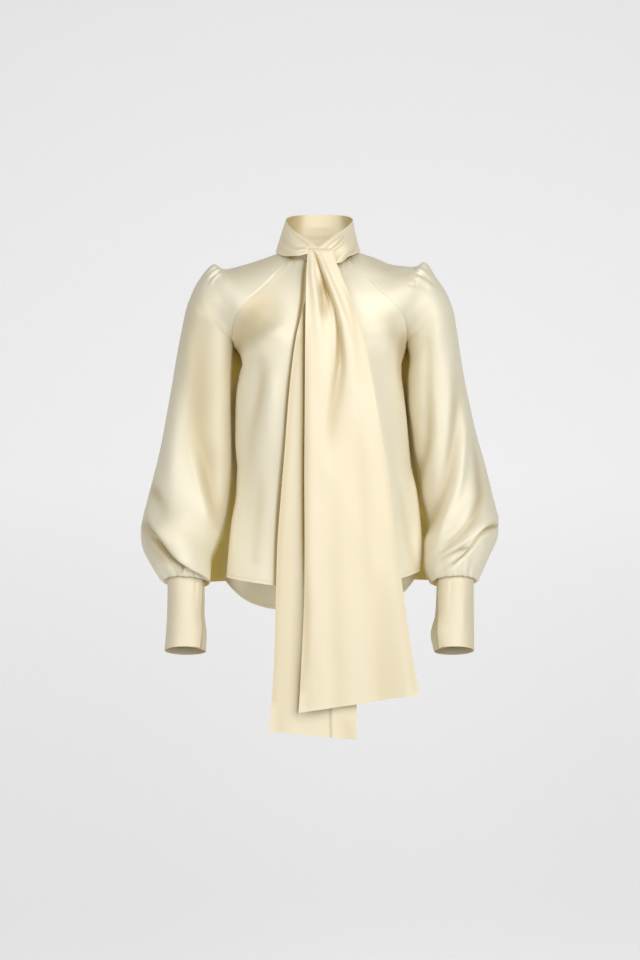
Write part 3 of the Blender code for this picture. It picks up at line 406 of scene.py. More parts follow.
        (1, 0, (172, -210, 0, 9), (182, -300, 4), (194, -390, 5, 10), (204, -470, 3)),
        (0.3, 6, (222, -556, 2, 8), (244, -530, 6, 11), (268, -508, 8, 13), (296, -494, 7, 12), (318, -478, 2)),
        (1, 0, (312, -498, -3, 6), (290, -514, -6), (264, -532), (240, -556, -3, 5)),
    ),
    ("back", "back"): (
        (1, 0, (-118, -190, 0, 13), (-122, -290, -5, 14), (-128, -400, -6), (-140, -500, -7, 15),
         (-150, -580, -6, 16)),
        (1, 0, (-88, -180, 0, 14), (-92, -300, 5, 15), (-100, -430, 6, 16), (-112, -560, 7, 18), (-118, -630)),
        (1, 0, (-60, -200, 0, 14), (-62, -310, -5), (-68, -430, -7, 15), (-78, -550, -9, 17), (-84, -650, -10, 18)),
        (1, 0, (-26, -210, 0, 14), (-28, -330, 4, 15), (-32, -460, 6, 16), (-38, -580, 8, 18), (-42, -660, 8, 19)),
        (1, 0, (6, -230, 0, 13), (6, -350, -5, 14), (6, -480, -7, 15), (4, -600, -9, 17), (2, -670, -10, 18)),
        (1, 0, (38, -210, 0, 14), (38, -330, 4, 15), (42, -460, 6, 16), (46, -580, 8, 18), (48, -660, 8, 19)),
        (1, 0, (70, -200, 0, 14), (72, -310, -5), (78, -430, -7, 15), (86, -550, -9, 17), (92, -650, -10, 18)),
        (1, 0, (98, -180, 0, 14), (104, -300, 5, 15), (112, -430, 6, 16), (124, -560, 7, 18), (130, -630)),
        (1, 0, (126, -190, 0, 13), (132, -290, -5, 14), (140, -400, -6), (152, -500, -7, 15), (162, -580, -6, 16)),
        (1, 0, (-100, -60, 0, 14), (-88, -110, -3, 16), (-96, -160, -3, 14), (-118, -190, 0, 12)),
        (1, 0, (100, -60, 0, 14), (90, -110, -3, 16), (98, -160, -3, 14), (122, -190, 0, 12)),
    ),
    ("scarf_neck", "back"): (
        (1, 0, (-40, 34, 0, 4), (-14, 37, 0.8, 5), (16, 38), (40, 35, 0, 4)),
        (1, 0, (-30, 56, 0, 5), (0, 60, -0.8, 6), (30, 57, 0, 5)),
    ),
}

# Where the cloth lies turned away from the light: as above but with no lap, and with how deep it is in shade (1
# for a deep fold, 2 for a gap) in place of the height.
SHADES = {
    ("sleeve_right", "front"): (
        (0.9, (-215, -54, 0.1, 22), (-217, -135, 0.7, 30), (-217, -234, 0.95, 34), (-215, -315, 1, 32),
         (-202, -373, 1, 24), (-194, -421, 0.95, 17), (-186, -455, 0.8, 12), (-181, -490, 0.3, 9)),
        (1.5, (-311, -486, 0.8, 8), (-296, -502, 1.1, 13), (-278, -522, 1.25, 17), (-260, -540, 1.2, 13),
         (-246, -556, 1, 7)),
        (1, (-303, -412, 0.4, 6), (-293, -432, 0.9, 9), (-282, -454, 0.6), (-273, -477, 0.2, 8)),
        (1, (-168, -38, 0.25, 12), (-132, -31, 0.35, 14), (-82, -9, 0.3, 12)),
    ),
    ("sleeve_left", "front"): (
        (1, (195, -225, 0.2, 10), (197, -293, 0.5), (194, -340, 0.6, 9), (183, -383, 0.5, 8), (177, -412, 0.3, 6)),
        (1, (248, -216, 0.1, 10), (246, -261, 0.4, 12), (244, -315, 0.65, 13), (235, -373, 0.8, 12),
         (222, -421, 0.8, 11), (206, -466, 0.75, 9), (194, -490, 0.5, 6)),
        (1, (279, -333, 0.2, 6), (287, -389, 0.6, 9), (292, -430, 0.8, 10), (278, -473, 0.75, 8.5),
         (240, -515, 0.7, 7), (219, -535, 0.4, 5)),
        (1, (320, -488, 1.2, 4), (307, -490, 1.6), (296, -493, 1.3, 3), (278, -509, 1.1, 2.4),
         (266, -533, 1.1, 2.2), (238, -558, 0.8)),
        (1, (262, -526, 0.8, 2.5), (255, -529, 1.2, 3), (242, -538, 0.6, 2.2), (224, -553, 0.4, 2)),
        (1, (199, -81, 0, 16), (197, -135, 0.3, 18), (195, -207, 0.2, 16)),
        (1, (95, -13, 0.25, 12), (127, -31, 0.3, 14), (163, -43, 0.25, 12)),
    ),
    ("front", "front"): (
        (0.95, (-86, -49, 0.2, 26), (-100, -81, 0.8, 36), (-118, -113, 1.02, 40), (-136, -142, 1.02, 30),
         (-148, -167, 0.95, 14)),
        (1, (-148, -171, 0.8, 4), (-147, -185, 1.3, 5), (-150, -221, 1.4, 4), (-154, -261, 0.8, 3)),
        (1, (-100, -175, 0.1, 10), (-105, -234, 0.6), (-118, -293, 0.55), (-129, -351, 0.3), (-138, -423, 0)),
        (1, (-104, -387, 0, 10), (-107, -459, 0.35), (-114, -549, 0.3, 9)),
        (1, (-23, -2, 1.3, 4), (-28, -38), (-30, -74, 1.4, 3.6), (-43, -153, 1.5), (-55, -243, 1.6, 3.8),
         (-62, -333), (-68, -405), (-74, -470), (-78, -531), (-80, -607, 1.5)),
        (1, (-75, 2, 0.6, 5), (-53, -5, 1), (-32, -4, 1.2)),
        (1, (30, -16, 1, 5), (46, -5, 0.8), (66, 7, 0.6, 4)),
        (1, (154, -144, 0.4, 9), (148, -175, 0.8, 8), (143, -211, 0.7, 7), (152, -261, 0.2, 5)),
        (1, (141, -405, 0, 7), (150, -450, 0.2), (163, -522, 0.25), (177, -567, 0.2)),
        (1, (109, -81, 0, 16), (123, -113, 0.3, 18), (138, -146, 0.45, 16), (147, -175, 0.3, 12)),
    ),
    ("scarf_tail_front", "front"): (
        (1, (-11, 7, 0.8, 2), (-5, -5, 1.1, 2.2), (3, -29, 1.2, 2.4), (12, -52, 1.15, 2.8), (17, -68, 0.8, 2.6)),
        (1, (1, -36, 0.4, 4), (6, -63, 1.1, 9), (9, -90), (8, -121, 0.2, 5)),
        (1, (15, -63, 1, 2.2), (28, -99, 0.95, 2.6), (33, -144, 0.7, 3.2), (35, -193, 0.25, 5)),
        (0.8, (37, -126, 0.3, 7), (33, -189, 0.85, 12), (30, -247, 0.95, 14), (24, -297, 0.8, 13),
         (19, -360, 0, 12)),
        (1, (26, 4, 0.2, 3), (46, -49, 0.35, 4), (66, -103, 0.4, 5), (84, -162, 0.3, 6), (98, -243, 0, 8)),
        (1, (102, -549, 0, 16), (109, -657, 0.35, 20), (120, -792, 0.45)),
        (1, (28, -387, 0, 14), (30, -549, 0.22), (33, -693, 0.26), (39, -810, 0.2)),
        (1, (73, -297, 0, 12), (80, -441, 0.2, 14), (87, -549), (91, -621, 0)),
        (1, (95, -162, 0.1, 5), (118, -333, 0.3, 6), (138, -522, 0.35, 7), (156, -666, 0.3, 8), (170, -783)),
        (1, (42, -59, 0.2, 3), (55, -90, 0.6, 4), (64, -135, 0.5, 5), (71, -198, 0.25, 7), (75, -261, 0, 8)),
        (1, (-23, -135, 0.3, 8), (-25, -261, 0.75, 9), (-26, -441, 0.85), (-26, -549), (-23, -639, 0.9),
         (-24, -711, 0.7, 8), (-32, -783, 0.4)),
        (1, (-14, -693, 0.1, 8), (-19, -810, 0.25)),
    ),
    ("scarf_tail_back", "front"): (
        (1, (-39, -153, 0.5, 7), (-50, -243, 0.6), (-57, -333), (-64, -405), (-69, -470), (-73, -531), (-76, -607),
         (-79, -693, 0.5), (-83, -801, 0.4)),
        (1, (-53, -315, 0, 8), (-58, -477, 0.25, 9), (-64, -657, 0.25, 10), (-69, -801, 0.2), (-71, -860)),
        (1, (-26, -27, 1.3, 4), (-29, -153, 1.5, 4.4), (-29, -261, 1.6), (-30, -405), (-29, -513),
         (-26, -634, 1.6, 4.6), (-28, -702, 1.4, 5), (-35, -765, 1.2), (-39, -823, 0.8, 4)),
        (1, (33, -830, 0.2, 6), (48, -848, 0.35, 14), (55, -877)),
    ),
    ("scarf_neck", "front"): (
        (1, (-71, 32, 0.1, 3), (-58, 20, 0.35, 3.5), (-40, 11, 0.4), (-23, 11, 0.5, 3)),
        (1, (42, 31, 0.7, 1.8), (35, 23, 1.1, 2), (27, 16), (20, 11, 0.7, 1.6)),
        (1, (44, 23, 0.4, 2), (36, 16, 0.7, 1.8), (26, 9, 0.7, 1.6)),
        (1, (69, 22, 0.1, 3), (62, 9, 0.4), (50, -2, 0.5), (39, -11, 0.3)),
        (1, (-57, 56, 0.1, 2.4), (-40, 34, 0.25), (-21, 16, 0.5)),
    ),
}


class BlouseSettings(bpy.types.PropertyGroup):
    """Sizes and colours of the blouse and of the studio round it."""

    cloth: bpy.props.FloatProperty(
        name="Cloth thickness", description="Wall of the single cloth", default=0.0007, unit="LENGTH")
    double_cloth: bpy.props.FloatProperty(
        name="Double cloth", description="Wall of the cuffs and the scarf, cut double", default=0.0012, unit="LENGTH")
    sleeve_columns: bpy.props.IntProperty(
        name="Sleeve columns", description="Points round a sleeve", default=240)
    panel_columns: bpy.props.IntProperty(
        name="Panel columns", description="Points across the front and the back", default=180)
    fold_depth: bpy.props.FloatProperty(
        name="Fold depth", description="Share of the creases' height that shows", default=1.0)
    gather_depth: bpy.props.FloatProperty(
        name="Gather depth", description="Height of the small pleats at the cuffs", default=0.0022, unit="LENGTH")
    view_distance: bpy.props.FloatProperty(
        name="View distance", description="From the camera to the neck", default=3.2, unit="LENGTH")
    view_height: bpy.props.FloatProperty(
        name="View height", description="Height of the camera below the neck", default=-0.405, unit="LENGTH")
    silk: bpy.props.FloatVectorProperty(
        name="Silk", description="Colour of the single satin", subtype="COLOR", size=3, default=(0.89, 0.825, 0.635))
    # painted shade on the whole of the sleeves and cuffs, and painted light on the whole scarf round the neck
    sleeve_shade_tone: bpy.props.FloatProperty(
        name="Tone of slanting cloth", description="Light given back by the sleeves and cuffs, against the body",
        default=0.90, min=0.0, max=1.2)
    neck_light_tone: bpy.props.FloatProperty(
        name="Tone of the standing scarf", description="Light given back by the scarf round the neck",
        default=1.06, min=0.0, max=1.2)
    double_silk: bpy.props.FloatVectorProperty(
        name="Double silk", description="Colour of the satin where it is cut double", subtype="COLOR", size=3,
        default=(0.84, 0.745, 0.535))
    # colours of painted shade: the satin is mixed towards the first in deep folds and towards the second in gaps
    deep_silk: bpy.props.FloatVectorProperty(
        name="Deep silk", description="Colour of the satin deep in its folds", subtype="COLOR", size=3,
        default=(0.635, 0.53, 0.325))
    gap_silk: bpy.props.FloatVectorProperty(
        name="Gap silk", description="Colour of the satin where hardly any light comes", subtype="COLOR", size=3,
        default=(0.62, 0.465, 0.075))
    thread: bpy.props.FloatVectorProperty(
        name="Thread", description="Colour of the sewing thread", subtype="COLOR", size=3, default=(0.80, 0.60, 0.30))
    sheen_roughness: bpy.props.FloatProperty(
        name="Satin roughness", description="How widely the satin spreads its highlights", default=0.57,
        subtype="FACTOR")
    backdrop: bpy.props.FloatVectorProperty(
        name="Backdrop", description="Colour of floor and wall", subtype="COLOR", size=3, default=(0.78, 0.78, 0.78))
    floor_drop: bpy.props.FloatProperty(
        name="Floor drop", description="Height of the floor below the neck", default=-1.6, unit="LENGTH")
    key_power: bpy.props.FloatProperty(
        name="Key light", description="Power of the large light at the front", default=95.0, unit="POWER")
    fill_power: bpy.props.FloatProperty(
        name="Fill light", description="Power of the light from the other side", default=56.5, unit="POWER")


def settings():
    """The scene's sizes and colours."""
    return bpy.context.scene.blouse


# ---- curves and tables ----
def metres(rows, unscaled=()):
    """A table of millimetres in metres; its unscaled columns stay as they are."""
    rows = np.array(rows, float)
    scale = np.full(rows.shape[1], MM)
    scale[list(unscaled)] = 1
    return rows * scale


def between(rows, places):
    """The rows of a table read at fractional row numbers, along smooth curves that never overshoot."""
    rows = np.asarray(rows, float)
    places = np.clip(np.asarray(places, float), 0, len(rows) - 1)
    step = np.diff(rows, axis=0)
    product = step[:-1] * step[1:]
    total = np.where(product > 0, step[:-1] + step[1:], 1.0)
    slope = np.zeros_like(rows)
    slope[1:-1] = np.where(product > 0, 2 * product / total, 0.0)
    slope[0], slope[-1] = step[0], step[-1]
    index = np.minimum(places.astype(int), len(rows) - 2)
    part = (places - index)[:, None]
    low, high = rows[index], rows[index + 1]
    rise, fall = slope[index], slope[index + 1]
    bend = 3 * (high - low) - 2 * rise - fall
    twist = 2 * (low - high) + rise + fall
    return low + part * (rise + part * (bend + part * twist))


def softened(rows, columns, reach):
    """The table with some of its columns averaged over neighbouring rows; its ends stay."""
    weights = np.hanning(2 * reach + 3)[1:-1]
    weights /= weights.sum()
    result = rows.copy()
    for column in columns:
        values = rows[:, column]
        before, after = 2 * values[0] - values[reach:0:-1], 2 * values[-1] - values[-2:-reach - 2:-1]
        result[:, column] = np.convolve(np.concatenate([before, values, after]), weights, mode="valid")
    return result


def smooth(value, start, end):
    """0 before start, 1 after end, and a soft step between them."""
    part = np.clip((value - start) / (end - start), 0, 1)
    return part * part * (3 - 2 * part)


def unit(vectors):
    """The same directions with length one."""
    return vectors / np.maximum(np.linalg.norm(vectors, axis=-1, keepdims=True), 1e-12)


def row_places(last, end_rows=0):
    """Table places from the first row to the last, evenly, with some more rows just before the last."""
    places = np.linspace(0, last, last * ROWS_PER_STATION + 1)
    if end_rows:
        places = np.concatenate([places[:-1], np.linspace(places[-2], last, end_rows + 2)[1:]])
    return places


# ---- sheets ----
def corners(values):
    """A grid's values at the four corners of every cell."""
    return np.stack([values[:-1, :-1], values[:-1, 1:], values[1:, 1:], values[1:, :-1]], axis=2)


class Sheet:
    """A piece of cloth: a grid of points, rows down and columns across. From the row closed_from on, the last
    column is the first one again, so the sheet is a tube there. Each point also carries painted shade, from 0 to
    2 (1 for a deep fold, 2 for a gap): one value for the cloth's outer face, and inside the same for its inner face."""

    def __init__(self, name, grid, closed_from=None, hollow=0.0, inside=0.0):
        self.name = name
        self.grid = np.array(grid)
        self.hollow = np.zeros(self.grid.shape[:2]) + hollow
        self.inside = np.zeros(self.grid.shape[:2]) + inside
        self.closed_from = len(self.grid) if closed_from is None else closed_from
        rows, columns = self.grid.shape[:2]
        self.index = np.arange(rows * columns).reshape(rows, columns)
        self.index[self.closed_from:, -1] = self.index[self.closed_from:, 0]

    def normals(self):
        """The cells' normals added up at each point, made unit length."""
        four = corners(self.grid)
        face = np.cross(four[:, :, 2] - four[:, :, 0], four[:, :, 3] - four[:, :, 1])
        face = unit(face) * np.linalg.norm(face, axis=-1, keepdims=True) ** 0.5
        sums = np.zeros((self.index.size, 3))
        places = corners(self.index)
        for corner in range(4):
            np.add.at(sums, places[:, :, corner].reshape(-1), face.reshape(-1, 3))
        return unit(sums[self.index])

    def lengths(self):
        """How far each point lies along its row and along its column, in metres."""
        across = np.linalg.norm(np.diff(self.grid, axis=1), axis=-1)
        down = np.linalg.norm(np.diff(self.grid, axis=0), axis=-1)
        zero = np.zeros((len(self.grid), 1))
        return (np.hstack([zero, np.cumsum(across, axis=1)]),
                np.vstack([np.zeros((1, self.grid.shape[1])), np.cumsum(down, axis=0)]))


def joined(sheets, values):
    """Averages the values of points where pieces meet, so that a seam is one line for both; how many meet."""
    keys = np.round(np.vstack([s.grid.reshape(-1, 3) for s in sheets]), 6)
    rows = np.vstack([v.reshape(-1, v.shape[-1]) for v in values])
    _, place, count = np.unique(keys, axis=0, return_inverse=True, return_counts=True)
    place = place.reshape(-1)
    sums = np.zeros((len(count), rows.shape[1]))
    np.add.at(sums, place, rows)
    mean = (sums / count[:, None])[place]
    ends = np.cumsum([s.index.size for s in sheets])[:-1]
    shape = [s.grid.shape[:2] + (-1,) for s in sheets]
    return ([m.reshape(n) for m, n in zip(np.split(mean, ends), shape)],
            [c.reshape(n[:2]) for c, n in zip(np.split(count[place], ends), shape)])


def seam_normals(sheets):
    """A unit normal for each point, the same on both sides of a seam. At the underarm point, where the body
    and the sleeve turn away from each other, each of the two has its own."""
    own = [s.normals() for s in sheets]
    shared, counts = joined(sheets, own)
    for tube in (True, False):
        group = [n for n, s in enumerate(sheets) if (s.closed_from < len(s.grid)) == tube]
        if group:
            alone, _ = joined([sheets[n] for n in group], [own[n] for n in group])
            for n, normals in zip(group, alone):
                corner = counts[n] >= 4
                shared[n][corner] = normals[corner]
    return [unit(n) for n in shared]


def seen(points, side):
    """Where points appear on the plane through the neck, to an eye in front; from behind, their own x and z."""
    flat = points[..., (0, 2)].copy()
    if side == "front":
        s = settings()
        near = (s.view_distance + points[..., 1:2]) / s.view_distance
        flat = (flat - (0, s.view_height)) / near + (0, s.view_height)
    return flat


def whole(path):
    """A path with its points in full: what one leaves out at its end is as in the point before it."""
    points = [path[0]]
    for point in path[1:]:
        points.append(point + points[-1][len(point):])
    return points


def crease(points, path, beyond, lap):
    """How far one crease lifts each point, and how far it draws it across the path: x and z of that way."""
    path = between(whole(path), np.linspace(0, len(path) - 1, 6 * (len(path) - 1) + 1)) * MM
    reach = CREASE_REACH * path[:, 3].max() * max(1, beyond)
    low, high = path[:, :2].min(0) - reach, path[:, :2].max(0) + reach
    near = np.flatnonzero(((points > low) & (points < high)).all(1))
    lift, drawn = np.zeros(len(points)), np.zeros((len(points), 2))
    if not len(near):
        return lift, drawn
    spots = points[near]
    nearest = np.full(len(near), np.inf)
    height, width = np.zeros(len(near)), np.full(len(near), 1e-3)
    side, way = np.zeros(len(near)), np.zeros((len(near), 2))
    for a, b in zip(path[:-1], path[1:]):
        along = b[:2] - a[:2]
        length = max(np.dot(along, along), 1e-12)
        part = np.clip(((spots - a[:2]) @ along) / length, 0, 1)
        apart = spots - (a[:2] + part[:, None] * along)
        distance = np.linalg.norm(apart, axis=1)
        closer = distance < nearest
        nearest[closer] = distance[closer]
        height[closer] = (a[2] + part * (b[2] - a[2]))[closer]
        width[closer] = (a[3] + part * (b[3] - a[3]))[closer]
        side[closer] = (along[0] * apart[:, 1] - along[1] * apart[:, 0])[closer]
        way[closer] = np.array((along[1], -along[0])) / math.sqrt(length)
    spread = np.where(side > 0, width, width * beyond)
    shape = np.exp(-(nearest / spread) ** 2)
    lift[near] = height * shape
    tallest = max(np.abs(path[:, 2]).max(), 1e-6)
    pull = lap * MM * np.abs(height) / tallest * np.exp(-(nearest / (0.5 * spread + 0.002)) ** 2)
    drawn[near] = way * pull[:, None]
    return lift, drawn


def folded(sheets, extra):
    """The sheets with their creases, moved along the normals they share, with painted shade in their troughs and along
    the SHADES paths.
    """
    moves = []
    normals = seam_normals(sheets)
    for sheet, out in zip(sheets, normals):
        flat = sheet.grid.reshape(-1, 3)
        lift, drawn = np.zeros(len(flat)), np.zeros((len(flat), 3))
        raised, shade = np.zeros((len(flat), 3)), np.zeros(len(flat))
        for side, sign in (("front", -1), ("back", 1)):
            mask = smooth(sign * out[..., 1].reshape(-1), -0.05, 0.35)
            outward = unit(out.reshape(-1, 3) + (0, FACING * sign, 0))
            spots = seen(flat, side)
            for beyond, lap, *path in CREASES.get((sheet.name, side), ()):
                height, shift = crease(spots, path, beyond, lap)
                height = mask * height * settings().fold_depth
                lift += height
                raised += outward * height[:, None]
                drawn[:, (0, 2)] += mask[:, None] * shift
            for beyond, *path in SHADES.get((sheet.name, side), ()):
                shade += mask * crease(spots, path, beyond, 0)[0] / MM
        # painted shade: from the SHADES paths, or from a trough's depth, whichever is darker
        shade = np.maximum(shade, np.clip((-lift - SHADE_FROM) / SHADE_OVER, 0, 1))
        sheet.hollow = np.clip(np.maximum(sheet.hollow, shade.reshape(sheet.index.shape)), 0, 2)
        drawn = drawn.reshape(sheet.grid.shape)
        drawn -= out * (drawn * out).sum(-1, keepdims=True)
        moves.append(raised.reshape(sheet.grid.shape) + out * extra(sheet)[..., None] + drawn)
    moves, _ = joined(sheets, moves)
    return [Sheet(s.name, s.grid + move, s.closed_from, s.hollow, s.inside) for s, move in zip(sheets, moves)]


def wall(sheet, normals, thickness):
    """A mesh object of the closed wall round a sheet, with a UV map in metres."""
    flat, out = sheet.grid.reshape(-1, 3), normals.reshape(-1, 3) * thickness / 2
    used = np.unique(sheet.index)
    place = np.zeros(len(flat), int)
    place[used] = np.arange(len(used))
    outer = place[corners(sheet.index)].reshape(-1, 4)
    size = len(used)
    inner = outer[:, ::-1] + size
    starts, ends = outer.reshape(-1), np.roll(outer, -1, axis=1).reshape(-1)
    forward, backward = starts * size + ends, ends * size + starts
    free = ~np.isin(forward, backward)
    rim_a, rim_b = starts[free], ends[free]
    rim = np.stack([rim_b, rim_a, rim_a + size, rim_b + size], axis=1)
    across, down = sheet.lengths()
    cloth = np.broadcast_arrays(across.mean(0)[None, :], down.mean(1)[:, None])
    spots = corners(np.stack(cloth, axis=-1)).reshape(-1, 4, 2)
    uv = np.vstack([spots.reshape(-1, 2), spots[:, ::-1].reshape(-1, 2), np.zeros((4 * len(rim), 2))])

    mesh = bpy.data.meshes.new(sheet.name)
    faces = np.vstack([outer, inner, rim])
    points = np.vstack([flat[used] + out[used], flat[used] - out[used]])
    mesh.vertices.add(len(points))
    mesh.vertices.foreach_set("co", points.astype(np.float32).ravel())
    mesh.loops.add(faces.size)
    mesh.loops.foreach_set("vertex_index", faces.ravel().astype(np.int32))
    mesh.polygons.add(len(faces))
    mesh.polygons.foreach_set("loop_start", np.arange(0, faces.size, 4, dtype=np.int32))
    mesh.update(calc_edges=True)
    layer = mesh.uv_layers.new(name="cloth_metres")
    layer.data.foreach_set("uv", uv.astype(np.float32).ravel())
    # painted shade for both faces of the wall, read by the satin material to darken its colour
    hollow = mesh.attributes.new("hollow", "FLOAT", "POINT")
    outside, inside = sheet.hollow.reshape(-1)[used], sheet.inside.reshape(-1)[used]
    hollow.data.foreach_set("value", np.concatenate([outside, inside]).astype(np.float32))
    mesh.shade_smooth()
    on_rim = np.zeros(2 * size, bool)
    on_rim[rim.reshape(-1)] = True
    pairs = np.zeros(len(mesh.edges) * 2, np.int32)
    mesh.edges.foreach_get("vertices", pairs)
    pairs = pairs.reshape(-1, 2)
    keys = set(map(tuple, np.sort(np.vstack([rim[:, :2], rim[:, 2:]]), axis=1).tolist()))
    sharp = np.array([on_rim[a] and on_rim[b] and (min(a, b), max(a, b)) in keys for a, b in pairs.tolist()])
    attribute = mesh.attributes.new("sharp_edge", "BOOLEAN", "EDGE")
    attribute.data.foreach_set("value", sharp)
    mesh.validate()
    piece = bpy.data.objects.new(sheet.name + "_satin", mesh)
    bpy.context.scene.collection.objects.link(piece)
    return piece


# ---- the pieces' forms ----
def leaning(height, behind):
    """The height of a ring's point that lies so far behind the ring's middle, where the forearm leans."""
    return height - LEAN * smooth(-height, -LEAN_FROM, -LEAN_TO) * behind


def sleeve(name, table):
    """A raglan sleeve: open arcs over the shoulder as far as the underarm point, then closed rings."""
    places = row_places(len(table) - 1)
    turned = [SLEEVE_NAMES.index(label) for label in ("open_front", "open_back")]
    uneven = [SLEEVE_NAMES.index(label) for label in ("top_x", "top_z", "mid_y", "front", "back")]
    rings = softened(between(metres(table, turned), places), uneven, ROWS_PER_STATION // 2)
    ring = {label: rings[:, number, None] for number, label in enumerate(SLEEVE_NAMES)}
    turn = np.linspace(0, 1, settings().sleeve_columns + 1)[None, :]
    ahead = turn <= 0.5
    opening = np.radians(np.where(ahead, ring["open_front"], ring["open_back"]))
    angle = opening + (math.pi - opening) * np.where(ahead, 2 * turn, 2 * (1 - turn))
    share = (1 + np.cos(angle)) / (1 + np.cos(opening))
    x = ring["top_x"] - (ring["top_x"] - np.where(ahead, ring["seam_x"], ring["back_x"])) * share
    z = ring["top_z"] - (ring["top_z"] - np.where(ahead, ring["seam_z"], ring["back_z"])) * share
    bulge = np.sin(math.pi * np.minimum(np.degrees(angle) / TUCK_ARC, 1)) ** 2
    soon = FIRST_TUCK * smooth(places[:, None], YOKE_STATIONS, YOKE_STATIONS + 0.55)
    tuck = np.maximum(ring["tuck"], np.where(ring["seam_z"] > TUCK_TOP, soon, 0))
    x += np.where(ahead, 0, tuck * bulge) * (1 if name == "sleeve_right" else -1)
    behind = np.where(ahead, -ring["front"], ring["back"]) * np.sin(angle)
    points = np.stack([x, ring["mid_y"] + behind, leaning(z, behind)], axis=-1)
    tube_from = YOKE_STATIONS * ROWS_PER_STATION
    points[tube_from:, -1] = points[tube_from:, 0]
    # painted shade where the sleeve's cloth faces the body below the underarm
    beside = np.where(ahead, 1 - smooth(np.degrees(angle), 4, 24), np.minimum(1, 3 * bulge + (angle < 0.3)))
    hollow = GAP_SHADE * beside * smooth(-z, 0.15, 0.18)
    if name == "sleeve_left":
        points, hollow = points[:, ::-1], hollow[:, ::-1]
    return Sheet(name, points, tube_from, hollow, SLEEVE_INSIDE_SHADE)


def panel_row(first, last, middle, roundness, hem=0.0):
    """One row of a front or back panel, from its first edge to its last through the middle."""
    even = np.linspace(-1, 1, settings().panel_columns + 1)
    share = (1 - roundness) * even + roundness * np.sin(even * math.pi / 2)
    part = ((share + 1) / 2)[:, None]
    straight = first + (last - first) * part
    away = np.abs(share)
    flat = away ** ROUND_BODY
    full = 1 - np.sqrt(np.maximum(1 - flat, 0))
    turn = (1 - roundness) * flat + roundness * full
    climb = (1 - hem) * away ** 2 + hem * np.clip((away - HEM_START) / (HEM_END - HEM_START), 0, 1) ** 3
    row = straight.copy()
    row[:, 1] = middle[0] + (straight[:, 1] - middle[0]) * turn
    row[:, 2] = middle[1] + (straight[:, 2] - middle[1]) * climb
    return row


def side_points():
    """The side seams from the underarm to the slits: right and left points and the panels' middles, by row."""
    right, left = (dict(zip(SLEEVE_NAMES, table[YOKE_STATIONS])) for table in (RIGHT_SLEEVE, LEFT_SLEEVE))
    under = (right["seam_z"], right["seam_x"], left["seam_x"], YOKE[-1][0], YOKE[-1][2])
    table = between(metres((under,) + SIDES), row_places(len(SIDES)))[1:]
    mid_y = right["mid_y"] * MM
    return [((x_right, mid_y, z), (x_left, mid_y, z), front_y, back_y, z)
            for z, x_right, x_left, front_y, back_y in table]


def panel(name, seam_right, seam_left, flap):
    """The front or the back: rows between the raglan seams, then between the side seams, then the loose flap."""
    is_front = name == "front"
    middles = between(metres(YOKE, (4,)), row_places(YOKE_STATIONS))
    rows = []
    for number, row in enumerate(middles):
        middle = row[0:2] if is_front else row[2:4]
        rows.append(panel_row(seam_right[number], seam_left[number], middle, row[4]))
    for right, left, front_y, back_y, z in side_points():
        middle = (front_y if is_front else back_y, z)
        rows.append(panel_row(np.array(right), np.array(left), middle, 1.0))
    right, left, front_y, back_y, z = side_points()[-1]
    start = (*right, *left, front_y if is_front else back_y, z)
    places = row_places(len(flap), 3)[1:]
    loose = between([start, *metres(flap)], places)
    for place, row in zip(places, loose):
        drop = place / len(flap)
        roundness = 1 + (SLIT_TURN - 1) * min(1, 2 * drop)
        hem = 0.0 if is_front else drop
        rows.append(panel_row(row[0:3], row[3:6], row[6:8], roundness, hem))
    points = evened(np.array(rows))
    share = np.linspace(-1, 1, points.shape[1])[None, :]
    fall = -points[..., 2]
    # painted shade: on the inner face towards the sides, and on the outer face beside the side seams
    inside = BODY_INSIDE_SHADE * smooth(np.abs(share), 0.60, 0.86)
    hollow = SIDE_SHADE * smooth(np.abs(share), 0.92, 1.0) * smooth(fall, 0.165, 0.18) * (1 - smooth(fall, 0.40, 0.50))
    return Sheet(name, points[:, ::-1] if is_front else points, None, hollow, inside)


def cuff(name, table):
    """A deep cuff: a band round the wrist whose ends lap over each other on its inner side."""
    rows = between(metres(table, (5,)), np.linspace(0, len(table) - 1, CUFF_GRID[0]))
    height, inner_x, outer_x, mid_y, depth, edge, tuck = (rows[:, n, None] for n in range(7))
    turns = edge + (360 + CUFF_LAP) * np.linspace(0, 1, CUFF_GRID[1])[None, :]
    shrink = 1 - tuck / depth * smooth(turns, 330, 360 + edge)
    middle, half = (inner_x + outer_x) / 2, (inner_x - outer_x) / 2
    x = middle + half * np.cos(np.radians(turns)) * shrink
    y = mid_y - depth * np.sin(np.radians(turns)) * shrink
    points = np.stack([x, y, leaning(height, y - mid_y)], axis=-1)
    # painted shade where the cuff's layers lap, darkest just past the upper layer's edge
    hollow = 0.4 * smooth(turns, 340, 356) + 1.6 * smooth(turns, 338 + edge, 352 + edge)
    if name == "cuff_left":
        points, hollow = points[:, ::-1], hollow[:, ::-1]
    return Sheet(name, points, None, hollow, SLEEVE_INSIDE_SHADE)


